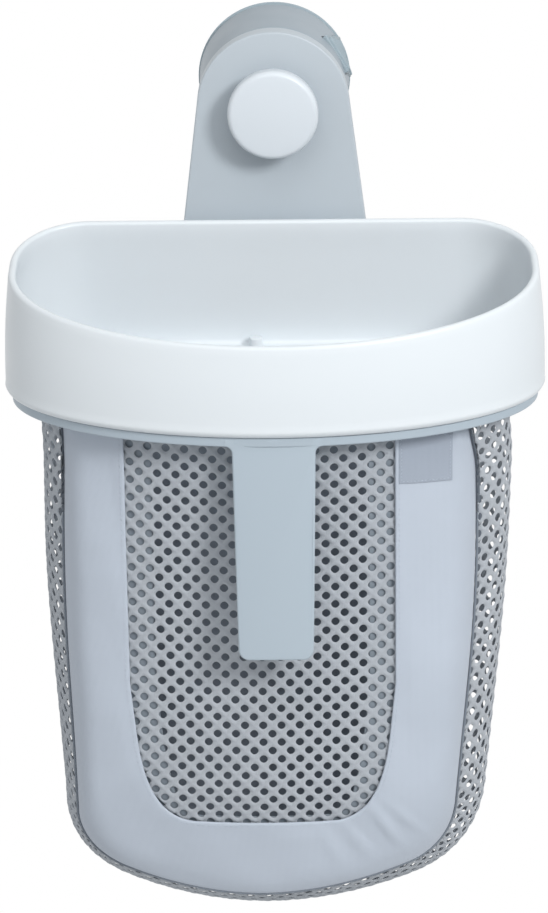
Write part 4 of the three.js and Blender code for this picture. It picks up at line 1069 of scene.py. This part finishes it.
def build_screws(material):
    """The screws, each with a cross recess in its head."""
    reach = SCREW_HEAD_RADIUS * CROSS_REACH_SHARE
    width = SCREW_RADIUS / 5
    heights = (SCREW_BOTTOM - SMALL_EDGE, SCREW_BOTTOM + SCREW_HEAD_HEIGHT / 2)
    for i, place in enumerate(screw_places()):
        x, y = plan_point(place, SCREW_INSET)
        screw = upright("ring_screw_skin_%d" % (i + 1), screw_profile(), x, y, 24)
        for dx, dy in ((reach, width), (width, reach)):
            tool = rounded_block("recess", (x - dx, x + dx), (y - dy, y + dy), heights, width / 4, 1)
            cut_away(screw, tool)
        dress(screw, "basket", material, "steel_screw", "ring_screw_%d" % (i + 1))


# Bag: its surfaces


def bag_top_line():
    return np.array([plan_point(place, BAG_INSET) for place in PLAN])


def front_top_line():
    """The part of the bag's top line that runs round the front, from left to right."""
    front = [place for place in PLAN if place[3] < 0 or abs(place[3]) < 1e-9 and place[1] <= RIM_MIDDLE]
    return np.array(sorted(plan_point(place, BAG_INSET) for place in front))


FRONT_TOP = front_top_line()


def top_line_y(x):
    return np.interp(x, FRONT_TOP[:, 0], FRONT_TOP[:, 1])


FRONT_TOP_Y = float(top_line_y(0))


def seam_shift(z):
    """The bag hangs a little to one side, more so further down."""
    return FRONT_SEAM_SHIFT + FRONT_SEAM_SKEW * ((BAG_TOP_Z - z) / (BAG_TOP_Z - SEAM_BOTTOM)) ** 2


def front_y(x, z):
    """Where the outer face of the bag's front is, for places x and z."""
    down = BAG_TOP_Z - z
    depth = BAG_TOP_Z - SEAM_BOTTOM
    settled = smooth_step(down / FRONT_SETTLE)
    across = (x - seam_shift(z) * settled) / FRONT_SEAM_HALF
    low = FRONT_TOP_Y + FRONT_RECEDE + FRONT_CROWN * across ** 2 + FRONT_ROLL * across ** ROLL_POWER
    tuck = FRONT_TUCK * smooth_step((down / depth - TUCK_START_SHARE) / (1 - TUCK_START_SHARE))
    return top_line_y(x) * (1 - settled) + low * settled + tuck


def front_normal(x, z):
    step = CLOTH
    slope_x = (front_y(x + step, z) - front_y(x - step, z)) / (2 * step)
    slope_z = (front_y(x, z + step) - front_y(x, z - step)) / (2 * step)
    n = np.stack([slope_x, -np.ones_like(slope_x), slope_z], axis=-1)
    return n / np.linalg.norm(n, axis=-1, keepdims=True)


def on_front(x, z, behind):
    """Points of the bag's front, that far behind its outer face."""
    points = np.stack([x, front_y(x, z), z], axis=-1)
    return points - front_normal(x, z) * np.broadcast_to(behind, x.shape)[..., None]


def u_line(
    half, low, shift_at, corner, bottom, left_shares, right_shares, taper_from=BAG_TOP_Z, bow=0, pull=0,
):
    """A U-shaped line of (x, z) from the left top round to the right top."""
    top = BAG_TOP_Z
    side_steps, bend_steps, floor_steps = 110, 46, 40
    floor_control = 2 * bottom - (corner + (bottom - corner) * (left_shares[1] + right_shares[1]))

    def half_at(z):
        return half + (low - half) * max(0, (taper_from - z) / (taper_from - corner))

    def limb(side, shares):
        bend_top = corner + (top - corner) * shares[0]
        bend_end = (low * (1 - shares[1]), corner + (floor_control - corner) * shares[1])
        points = []
        for i in range(side_steps):
            t = i / side_steps
            z = top + (bend_top - top) * t
            pulled = pull * (1 - float(smooth_step((top - z) / TOP_PULL_DROP))) if side > 0 else 0
            points.append((half_at(z) + bow * math.sin(math.pi * t) ** 2 - pulled, z))
        points += bezier((half_at(bend_top), bend_top), (low, corner), bend_end, bend_steps)
        return [(side * x, z) for x, z in points]

    left, right = limb(-1, left_shares), limb(1, right_shares)
    floor = bezier(left.pop(), (0, floor_control), right.pop(), floor_steps)
    return np.array([(x + shift_at(z), z) for x, z in left + floor + right[::-1]])


def facing_out(line):
    """The directions that face out of a U-shaped line at its points."""
    along = np.vstack([line[1:], line[-1:]]) - np.vstack([line[:1], line[:-1]])
    along /= np.linalg.norm(along, axis=1, keepdims=True)
    return np.stack([along[:, 1], -along[:, 0]], axis=1)


def moved_in(line, distance):
    out = facing_out(line)
    for end in (0, -1):
        out[end] = (math.copysign(1, out[end][0]), 0)
    return line - out * distance


FRONT_SEAM = u_line(
    FRONT_SEAM_HALF, FRONT_SEAM_HALF - FRONT_SEAM_TAPER, seam_shift,
    SEAM_CORNER, SEAM_BOTTOM, FRONT_LEFT_SHARES, FRONT_RIGHT_SHARES,
    bow=FRONT_SEAM_BOW, pull=TOP_PULL,
)
BACK_SEAM = u_line(
    BACK_SEAM_HALF, BACK_SEAM_HALF - BACK_SEAM_TAPER, lambda z: 0,
    SEAM_CORNER, SEAM_BOTTOM, BACK_SEAM_SHARES, BACK_SEAM_SHARES,
)
WINDOW_EDGE = u_line(
    WINDOW_HALF, WINDOW_HALF - WINDOW_TAPER, lambda z: WINDOW_SHIFT,
    WINDOW_CORNER, WINDOW_BOTTOM, WINDOW_SHARES, WINDOW_SHARES,
    BAG_TOP_Z - WINDOW_TAPER_DROP,
)


def seam_roll():
    """How far back the panel's edge rolls at each point of the front seam."""
    sideways = np.abs(facing_out(FRONT_SEAM)[:, 0])
    settled = smooth_step((BAG_TOP_Z - FRONT_SEAM[:, 1]) / EDGE_ROLL_SETTLE)
    roll = EDGE_ROLL * (ROLL_FOOT_SHARE + (1 - ROLL_FOOT_SHARE) * sideways)
    return roll * (ROLL_TOP_SHARE + (1 - ROLL_TOP_SHARE) * settled)


SEAM_ROLL = seam_roll()


# Sheets


def sheet_object(name, middle, normals, half):
    """A sheet from its middle surface. Where half, its half thickness, is nought the two faces meet."""
    offset = normals * half[..., None]
    points = np.concatenate([(middle + offset).reshape(-1, 3), (middle - offset).reshape(-1, 3)])
    index = np.arange(half.size).reshape(half.shape)
    edge = np.concatenate([index[0], index[1:, -1], index[-1, -2::-1], index[-2:0:-1, 0], index[0, :1]])
    faces = grid_faces(index) + grid_faces(half.size + index[:, ::-1])
    faces += grid_faces(np.stack([edge, half.size + edge]))
    return make_object(name, points, faces, CLOTH_ANGLE)


def grid_normals(points, toward):
    n = np.cross(np.gradient(points, axis=0), np.gradient(points, axis=1))
    n /= np.maximum(np.linalg.norm(n, axis=-1, keepdims=True), 1e-12)
    side = np.sign((n * toward).sum(axis=-1, keepdims=True))
    return n * np.where(side == 0, 1, side)


def even_shares(width, thickness, count):
    """Shares across a strip, close together at its rounded edges."""
    near = [share * thickness / 2 / width for share in (0, 0.08, 0.25, 0.55, 1)]
    middle = np.linspace(near[-1], 1 - near[-1], count)[1:-1]
    return np.array(near + list(middle) + [1 - n for n in reversed(near)])


def between(outer, inner, shares):
    """Places x and z of a strip between two lines, at shares of its width."""
    return [outer[:, k:k + 1] * (1 - shares) + inner[:, k:k + 1] * shares for k in (0, 1)]


def strip_half(shares, width, thickness, rows):
    """Half the thickness across a strip with rounded edges, the same for each of its rows."""
    near = np.clip(np.minimum(shares, 1 - shares) * width / (thickness / 2), 0, 1)
    half = thickness / 2 * np.sqrt(np.maximum(0, 1 - (1 - near) ** 2))
    return np.repeat(half[None, :], rows, axis=0)


def pucker_height(x, z):
    total = np.zeros_like(x)
    for px, pz, direction, half_length, half_width, height in PUCKERS:
        c, s = math.cos(math.radians(direction)), math.sin(math.radians(direction))
        along = ((x - px) * c + (z - pz) * s) / half_length
        across = ((z - pz) * c - (x - px) * s) / half_width
        total += height * np.exp(-along ** 2 - across ** 2) * np.cos(across * PUCKER_WAVE)
    return total


def panel_swell(x, z):
    """Soft unevenness of the panel's cloth."""
    swell = [np.sin(p * wave + start) for p, wave, start in zip((x, z), SWELL_WAVES, SWELL_STARTS)]
    return SWELL * swell[0] * swell[1] + RIPPLE * np.sin(x * RIPPLE_WAVES[0] + z * RIPPLE_WAVES[1])


def build_front_panel(material, seam_material):
    outer = moved_in(FRONT_SEAM, BINDING_SHOWN)
    width = float(np.linalg.norm(outer - WINDOW_EDGE, axis=1).mean())
    shares = even_shares(width, CLOTH, 26)
    x, z = between(outer, WINDOW_EDGE, shares)
    from_outer = shares * width
    from_window = (1 - shares) * width
    swell = pucker_height(x, z) + panel_swell(x, z) * smooth_step(from_window / WINDOW_SWELL_SETTLE)
    middle = on_front(x, z, CLOTH / 2 - swell * smooth_step(from_outer / SWELL_SETTLE))
    middle[..., 1] += SEAM_ROLL[:, None] * np.clip(1 - from_outer / EDGE_ROLL_WIDTH, 0, 1) ** 3
    normals = grid_normals(middle, front_normal(x, z))
    half = strip_half(shares, width, CLOTH, len(outer))
    panel = sheet_object("front_panel_cloth", middle, normals, half)
    dress(panel, "basket", material, "cloth", "front_panel")
    area = line_length((outer + WINDOW_EDGE) / 2) * width
    stitches = build_window_stitches(seam_material)


def build_window_stitches(material):
    """A row of stitches along the window's edge, each a short rounded bar."""
    points = []
    faces = []
    line = moved_in(WINDOW_EDGE, -STITCH_OUT)
    lengths = run_lengths(line)
    for start in np.arange(STITCH_PITCH, lengths[-1] - STITCH_PITCH, STITCH_PITCH):
        ends = [start, start + STITCH_PITCH * STITCH_SHARE]
        x, z = [np.interp(ends, lengths, column) for column in line.T]
        add_stitch(points, faces, on_front(x, z, 0), front_normal(x, z)[0])
    stitches = make_object("window_stitches", points, faces, CLOTH_ANGLE)
    return dress(stitches, "basket", material, "binding")


def add_stitch(points, faces, ends, n):
    """Adds the points and faces of one stitch, on a surface that faces along n."""
    a, b = ends
    side = np.cross((b - a) / np.linalg.norm(b - a), n)
    base = len(points)
    for t, size in STITCH_RINGS:
        middle = a + (b - a) * t - n * STITCH_RADIUS * (1 - size)
        for k in range(STITCH_SIDES):
            turn = 2 * math.pi * k / STITCH_SIDES
            points.append(middle + STITCH_RADIUS * size * (math.cos(turn) * side + math.sin(turn) * n))
    faces += [[base + p for p in face] for face in capped_faces(len(STITCH_RINGS), STITCH_SIDES)]


# Nets


def inside_line(line, x, z):
    odd = np.zeros(x.shape, bool)
    before = np.roll(line, 1, axis=0)
    for (a, b), (c, d) in zip(before, line):
        if b != d:
            odd ^= ((d > z) != (b > z)) & (x < (a - c) * (z - d) / (b - d) + c)
    return odd


def net_cell():
    """A net cell's points from its diamond outline in to its round hole, as (u, v, thickness share)."""
    corners = [(NET_PITCH / 2, 0), (0, NET_ROW), (-NET_PITCH / 2, 0), (0, -NET_ROW)]
    outline = []
    for k in range(4):
        a, b = corners[k], corners[(k + 1) % 4]
        for e in range(EDGE_POINTS):
            t = e / EDGE_POINTS
            yarn = YARN_SHARES[k % 2] if e else sum(YARN_SHARES) / 2
            outline.append((a[0] + (b[0] - a[0]) * t, a[1] + (b[1] - a[1]) * t, yarn))
    points = []
    for share, thick in NET_RINGS:
        for du, dv, yarn in outline:
            turn = math.atan2(dv, du)
            hu, hv = NET_HOLE * math.cos(turn), NET_HOLE * math.sin(turn)
            points.append((du + (hu - du) * share, dv + (hv - dv) * share, thick * yarn))
    return np.array(points)


def net_object(name, cells, surface):
    """A net of round holes. surface(u, v) gives points and normals of its middle."""
    cell = net_cell()
    flat = (np.pad(cells, ((0, 0), (0, 1)))[:, None] + cell).reshape(-1, 3)
    flat[outer_edge_points(cells, len(cell)), 2] = 0
    points, normals = surface(flat[:, 0], flat[:, 1])
    offset = normals * (flat[:, 2:] * NET_THICKNESS / 2)
    both = np.concatenate([points + offset, points - offset])
    first = np.arange(len(cells))[:, None, None] * len(cell)
    faces = (first + loop_faces(len(NET_RINGS), HOLE_POINTS, closed_rows=False)).reshape(-1, 4)
    faces = np.concatenate([faces, len(flat) + faces[:, ::-1]]).tolist()
    return make_object(name, both, faces, NET_ANGLE)


def outer_edge_points(cells, stride):
    """The outline points that lie on an edge that only one cell has."""
    places = [(round(u / NET_PITCH * 2), round(v / NET_ROW)) for u, v in cells]
    known = set(places)
    found = set()
    for n, (column, row) in enumerate(places):
        for k, (dc, dr) in enumerate(((1, 1), (-1, 1), (-1, -1), (1, -1))):
            if (column + dc, row + dr) not in known:
                edge = range(k * EDGE_POINTS, (k + 1) * EDGE_POINTS + 1)
                found.update(n * stride + p % HOLE_POINTS for p in edge)
    return sorted(found)


def staggered_cells(columns, rows):
    """Middles of a net's cells, each row set half a pitch aside from the next."""
    places = [(column, row) for row in rows for column in range(-columns, columns + 1)]
    return np.array([(c * NET_PITCH / 2, r * NET_ROW) for c, r in places if (r + c) % 2 == 0])


def window_cells():
    rows = int((BAG_TOP_Z - WINDOW_BOTTOM) / NET_ROW) + 3
    cells = staggered_cells(int(WINDOW_HALF / NET_PITCH * 2) + 4, range(-1, -rows, -1))
    field = moved_in(WINDOW_EDGE, -NET_SEAM_WIDTH * NET_TUCK_SHARE)
    return cells[inside_line(field, cells[:, 0] + WINDOW_SHIFT, cells[:, 1] + BAG_TOP_Z)]


def build_window_net(material):
    behind = CLOTH + NET_GAP + NET_THICKNESS / 2

    def surface(u, v):
        x, z = u + WINDOW_SHIFT, v + BAG_TOP_Z
        return on_front(x, z, behind), front_normal(x, z)

    net = net_object("window_net_yarn", window_cells(), surface)
    dress(net, "basket", material, "net", "window_net")


def build_facing(material):
    """The panel's turned-in edge, which shows through the net along the window."""
    # The cloth given here is darker than the panel's, as painted shade of the bag's inside.
    sideways = np.abs(facing_out(WINDOW_EDGE)[:, :1]) ** 2
    outer = moved_in(WINDOW_EDGE, -FACING_OUT)
    inner = moved_in(WINDOW_EDGE, FACING_FOOT + (FACING_IN - FACING_FOOT) * sideways)
    width = FACING_OUT + FACING_IN
    shares = even_shares(width, FACING_THICKNESS, 8)
    x, z = between(outer, inner, shares)
    middle = on_front(x, z, CLOTH + NET_GAP + NET_THICKNESS + SEAM_GAP + FACING_THICKNESS / 2)
    half = strip_half(shares, width, FACING_THICKNESS, len(outer))
    facing = sheet_object("window_facing", middle, front_normal(x, z), half)
    dress(facing, "basket", material, "cloth")
    flat = (width, line_length(WINDOW_EDGE))


# Bag: gusset, back panel, seams and hem


def seam_top(side):
    """Where the front seam starts at the top, on the left or the right, as (x, y)."""
    end = -1 if side > 0 else 0
    x = FRONT_SEAM[end][0]
    return x, float(top_line_y(x)) + SEAM_ROLL[end]


def side_top_points(side):
    """The bag's top line on one side, from the front seam round to the back seam."""
    x, y = seam_top(side)
    line = bag_top_line()
    half = line[line[:, 0] * side > 0] * (side, 1)
    half = half[np.argsort(np.arctan2(half[:, 1] - RIM_MIDDLE, half[:, 0]))]
    nearest = np.where(half[:, 1] < RIM_MIDDLE, abs(x), BACK_SEAM_HALF)
    kept = np.vstack([(abs(x), y), half[half[:, 0] > nearest], (BACK_SEAM_HALF, BAG_BACK)])
    lengths = run_lengths(kept)
    return kept, lengths / lengths[-1]


def gusset_grid(columns):
    """Points of the gusset's outer surface, from the front seam (share 0) to the back seam (share 1)."""
    shares = np.linspace(0, 1, columns)
    out = facing_out(FRONT_SEAM)
    nx, nz = out[:, :1], out[:, 1:]
    x, z = between(FRONT_SEAM, BACK_SEAM, shares)
    fx, fz = FRONT_SEAM[:, :1], FRONT_SEAM[:, 1:]
    fy = front_y(fx, fz) + SEAM_ROLL[:, None]
    top_bulge = np.where(nx > 0, GUSSET_RIGHT_BULGE, GUSSET_LEFT_BULGE)
    side_bulge = top_bulge - GUSSET_SIDE_TAPER * (BAG_TOP_Z - fz) / SEAM_CORNER_DROP
    full = side_bulge + (GUSSET_BOTTOM_BULGE - side_bulge) * np.abs(nz)
    bulge = (full + GUSSET_CORNER_BULGE * np.abs(nx * nz)) * np.sin(np.pi * shares)
    y = fy + (BAG_BACK - fy) * shares
    unsettled = 1 - smooth_step((BAG_TOP_Z - z) / GUSSET_SETTLE)
    x, z = x + nx * bulge, z + nz * bulge
    for side in (-1, 1):
        rows = np.where(np.sign(nx[:, 0]) == side)[0]
        kept, lengths = side_top_points(side)
        start_x, start_y = seam_top(side)
        plain_x = start_x + (side * BACK_SEAM_HALF - start_x) * shares
        plain_x = plain_x + side * top_bulge[rows] * np.sin(np.pi * shares)
        plain_y = start_y + (BAG_BACK - start_y) * shares
        x[rows] += unsettled[rows] * (side * np.interp(shares, lengths, kept[:, 0]) - plain_x)
        y[rows] += unsettled[rows] * (np.interp(shares, lengths, kept[:, 1]) - plain_y)
    return np.stack([x, y, z], axis=-1)


def gusset_surface(grid):
    """Maps u along the seams and v across, in metres from the gusset's middle, to the grid's surface."""
    rows, columns, _ = grid.shape
    lengths = run_lengths(grid[:, columns // 2])
    widths = np.linalg.norm(np.diff(grid, axis=1), axis=2).sum(axis=1)
    normals = grid_normals(grid, grid - BAG_CENTRE)

    def at(values, row, column):
        r0 = np.clip(np.floor(row).astype(int), 0, rows - 2)
        c0 = np.clip(np.floor(column).astype(int), 0, columns - 2)
        fr, fc = (row - r0)[..., None], (column - c0)[..., None]
        low = values[r0, c0] * (1 - fc) + values[r0, c0 + 1] * fc
        high = values[r0 + 1, c0] * (1 - fc) + values[r0 + 1, c0 + 1] * fc
        return low * (1 - fr) + high * fr

    def surface(u, v):
        row = np.interp(u + lengths[-1] / 2, lengths, np.arange(rows))
        width = np.interp(row, np.arange(rows), widths)
        column = np.clip(0.5 + v / width, 0, 1) * (columns - 1)
        n = at(normals, row, column)
        n /= np.linalg.norm(n, axis=-1, keepdims=True)
        return at(grid, row, column) - n * NET_THICKNESS / 2, n

    return surface, widths, lengths


def build_gusset(net_material, tape_material):
    grid = gusset_grid(41)
    surface, widths, lengths = gusset_surface(grid)
    total = float(lengths[-1])
    rows = int(total / NET_ROW / 2)
    cells = staggered_cells(int(widths.max() / NET_PITCH) + 1, range(-rows, rows + 1))
    v, u = cells.T
    reach = np.interp(u + total / 2, lengths, widths) / 2 + NET_PITCH * NET_REACH_SHARE
    cells = cells[(abs(v) < reach) & (abs(u) <= total / 2 - NET_ROW)]
    net = net_object("gusset_net_yarn", cells, lambda v, u: surface(u, v))
    dress(net, "basket", net_material, "net", "gusset_net")
    sides = (("front", grid), ("back", grid[:, ::-1]))
    tapes = [build_gusset_tape("gusset_tape_" + name, side, tape_material) for name, side in sides]


def build_gusset_tape(name, grid, material):
    """The strip of plain cloth that the net's edge is sewn into along a seam."""
    shares = even_shares(TAPE_WIDTH, FACING_THICKNESS, 6)
    wanted = SEAT_GAP + shares * TAPE_WIDTH
    rows = [[np.interp(wanted, run_lengths(row), column) for column in row.T] for row in grid]
    points = np.array(rows).transpose(0, 2, 1)
    normals = grid_normals(points, points - BAG_CENTRE)
    half = strip_half(shares, TAPE_WIDTH, FACING_THICKNESS, len(grid))
    tape = sheet_object(name, points - normals * TAPE_SINK, normals, half)
    return dress(tape, "basket", material, "binding")


def build_back_panel(material):
    edge = moved_in(BACK_SEAM, BINDING_RADIUS + SEAM_GAP)
    count = len(edge) // 2 + 1
    x, z = between(edge[:count], edge[::-1][:count], np.linspace(0, 1, 60))
    swell = BACK_SWELL * np.sin(x * BACK_SWELL_WAVES[0]) * np.sin(z * BACK_SWELL_WAVES[1])
    swell = swell * smooth_step((BAG_TOP_Z - z) / BACK_SWELL_SETTLE)
    middle = np.stack([x, BAG_BACK - CLOTH / 2 - np.abs(swell), z], axis=-1)
    normals = np.broadcast_to((0, 1, 0), middle.shape)
    panel = sheet_object("back_panel_cloth", middle, normals, np.full(x.shape, CLOTH / 2))
    dress(panel, "basket", material, "cloth", "back_panel")
    area = float(((x[:-1, -1] - x[:-1, 0]) * -np.diff(z[:, 0])).sum())


def tube(name, path, radius, sides=10):
    along = np.gradient(path, axis=0)
    along /= np.linalg.norm(along, axis=1, keepdims=True)
    side = np.cross(along, (0, 1, 0))
    side /= np.linalg.norm(side, axis=1, keepdims=True)
    up = np.cross(side, along)
    turns = [2 * math.pi * k / sides for k in range(sides)]
    points = []
    for p, s, u in zip(path, side, up):
        points += [p + radius * (math.cos(turn) * s + math.sin(turn) * u) for turn in turns]
    return make_object(name, points, capped_faces(len(path), sides), CLOTH_ANGLE)


def build_bindings(material):
    # The bindings show as dark lines along the seams: partly the real bindings, partly a painted shadow
    # of the seams' creases.
    for name, line, y_at in (
        ("front_binding", FRONT_SEAM, lambda x, z: front_y(x, z) + SEAM_ROLL + BINDING_RADIUS),
        ("back_binding", BACK_SEAM, lambda x, z: np.full_like(x, BAG_BACK - CLOTH / 2)),
    ):
        x, z = line[:, 0], np.minimum(line[:, 1], RIM_BOTTOM - RING_DROP - SEAT_GAP)
        binding = tube(name + "_tape", np.stack([x, y_at(x, z), z], axis=1), BINDING_RADIUS)
        dress(binding, "basket", material, "binding", name)


def hem_section(_place=None):
    outer = [(HEM_OUTER, HEM_FOOT), (HEM_OUTER, HEM_TOP), (HEM_INNER, HEM_TOP)]
    foot = [(HEM_INNER, BAG_TOP + SEAT_GAP), (BAG_INSET, BAG_TOP + SEAT_GAP), (BAG_INSET, HEM_TOP - HEM)]
    return outer + foot + [(HEM_OUTER + HEM, HEM_TOP - HEM), (HEM_OUTER + HEM, HEM_FOOT)]


def strip_section(_place):
    top = HEM_TOP - SEAT_GAP - HEM
    outer = HEM_OUTER + HEM + SEAT_GAP
    return [(outer, HEM_FOOT), (outer, top), (outer + STRIP, top), (outer + STRIP, HEM_FOOT)]


def build_hem(cloth, nylon):
    hem = carried_round("hem_band_cloth", hem_section)
    dress(hem, "basket", cloth, "net", "hem_band")
    dress(carried_round("hem_strip_band", strip_section), "basket", nylon, "nylon", "hem_strip")
    line = bag_top_line()
    flat = (line_length(hem_section()) / 2, line_length(np.vstack([line, line[:1]])))


def patch_place(across, down):
    """The place x and z at shares of the patch's width and height."""
    x = PATCH_LEFT + (PATCH_RIGHT - PATCH_LEFT) * across
    return x, PATCH_TOP - PATCH_FALL * across - PATCH_HEIGHT * down


def patch_stitches(thread):
    points, faces = [], []
    inset = PATCH_STITCH_INSET / (PATCH_RIGHT - PATCH_LEFT)
    corners = [(inset, inset), (1 - inset, inset), (1 - inset, 1 - inset), (inset, 1 - inset)]
    for (au, av), (bu, bv) in zip(corners, corners[1:] + corners[:1]):
        for k in range(PATCH_STITCHES):
            t = (k + np.array(PATCH_STITCH_SHARES)) / PATCH_STITCHES
            x, z = patch_place(au + (bu - au) * t, av + (bv - av) * t)
            ends = on_front(x, z, -panel_swell(x, z) - PATCH_THICKNESS)
            add_stitch(points, faces, ends, front_normal(x, z)[0])
    stitches = make_object("patch_stitches", points, faces, CLOTH_ANGLE)
    return dress(stitches, "basket", thread, "binding")


def build_patch(cloth, thread):
    """A plain square patch at the panel's upper right, sewn round its edge."""
    width = PATCH_RIGHT - PATCH_LEFT
    side = even_shares(width, PATCH_THICKNESS, 16)
    x, z = patch_place(*np.meshgrid(side, side))
    across = strip_half(side, width, PATCH_THICKNESS, len(side))
    middle = on_front(x, z, -panel_swell(x, z) - PATCH_THICKNESS * PATCH_LIFT_SHARE)
    patch = sheet_object("plain_patch", middle, front_normal(x, z), np.minimum(across, across.T))
    dress(patch, "basket", cloth, "cloth")
    stitches = patch_stitches(thread)


# Lamps, world and floor


def area_lamp(name, place, aim, size, watts):
    data = bpy.data.lights.new(name, "AREA")
    data.shape = "SQUARE"
    data.size = size
    data.energy = watts
    lamp = link_object(name, data)
    lamp.location = place
    lamp.rotation_euler = (Vector(aim) - Vector(place)).to_track_quat("-Z", "Y").to_euler()


def show_one(tree, lit, seen, out):
    """Gives rays from the camera, off gloss or through glass the shader seen, and all others lit."""
    path = tree.nodes.new("ShaderNodeLightPath").outputs
    shown = path["Is Camera Ray"]
    for kind in ("Is Glossy Ray", "Is Transmission Ray"):
        shown = add_node(tree, "Math", {0: shown, 1: path[kind]}, operation="MAXIMUM").outputs["Value"]
    mix = add_node(tree, "MixShader", {"Fac": shown, 1: lit, 2: seen})
    fill_inputs(tree, out, {"Surface": mix.outputs["Shader"]})


def light_scene():
    bpy.context.scene.view_settings.view_transform = "Standard"
    world = bpy.data.worlds.new("world")
    bpy.context.scene.world = world
    world.use_nodes = True
    tree = world.node_tree
    tree.nodes.clear()
    backgrounds = []
    for colour, strength in ((WORLD_TINT, WORLD_LIGHT), ((1, 1, 1, 1), 1)):
        node = add_node(tree, "Background", {"Color": colour, "Strength": strength})
        backgrounds.append(node.outputs["Background"])
    show_one(tree, *backgrounds, add_node(tree, "OutputWorld", {}))
    for lamp in LAMPS:
        area_lamp(*lamp)


def put_floor():
    """A pale floor far below, which the camera sees as white."""
    half = FLOOR_HALF
    corners = [(x, y, FLOOR_Z) for x, y in ((-half, -half), (half, -half), (half, half), (-half, half))]
    floor = make_object("floor", corners, [(0, 1, 2, 3)])
    material, tree, shader = new_material("floor", FLOOR_COLOUR, {"Roughness": 0.8})
    white = add_node(tree, "Emission", {}).outputs["Emission"]
    show_one(tree, shader.outputs["BSDF"], white, tree.nodes["Material Output"])
    floor.data.materials.append(material)


def main():
    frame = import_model()
    put_camera()
    looks = {}
    for make, table in ((plastic, PLASTICS), (metal, METALS), (fabric, FABRICS)):
        looks.update({name: make(name, *row) for name, row in table.items()})
    for build, *names in (
        (build_cup, "soft grey"),
        (build_drum, "drum grey"),
        (build_bracket, "bracket grey"),
        (build_knob, "knob white"),
        (build_rim, "rim white"),
        (build_ring, "handle grey"),
        (build_screws, "steel"),
        (build_front_panel, "panel cloth", "thread"),
        (build_window_net, "net yarn"),
        (build_facing, "facing cloth"),
        (build_gusset, "net yarn", "seam tape"),
        (build_back_panel, "back cloth"),
        (build_bindings, "binding tape"),
        (build_hem, "facing cloth", "nylon"),
        (build_patch, "patch cloth", "thread"),
    ):
        build(*[looks[name] for name in names])
    for node, look in (("cup_stud", "nylon"), ("slip_washer", "nylon"), ("knob_insert", "brass")):
        frame["nodes"][node].data.materials.clear()
        frame["nodes"][node].data.materials.append(looks[look])
    light_scene()
    put_floor()


main()
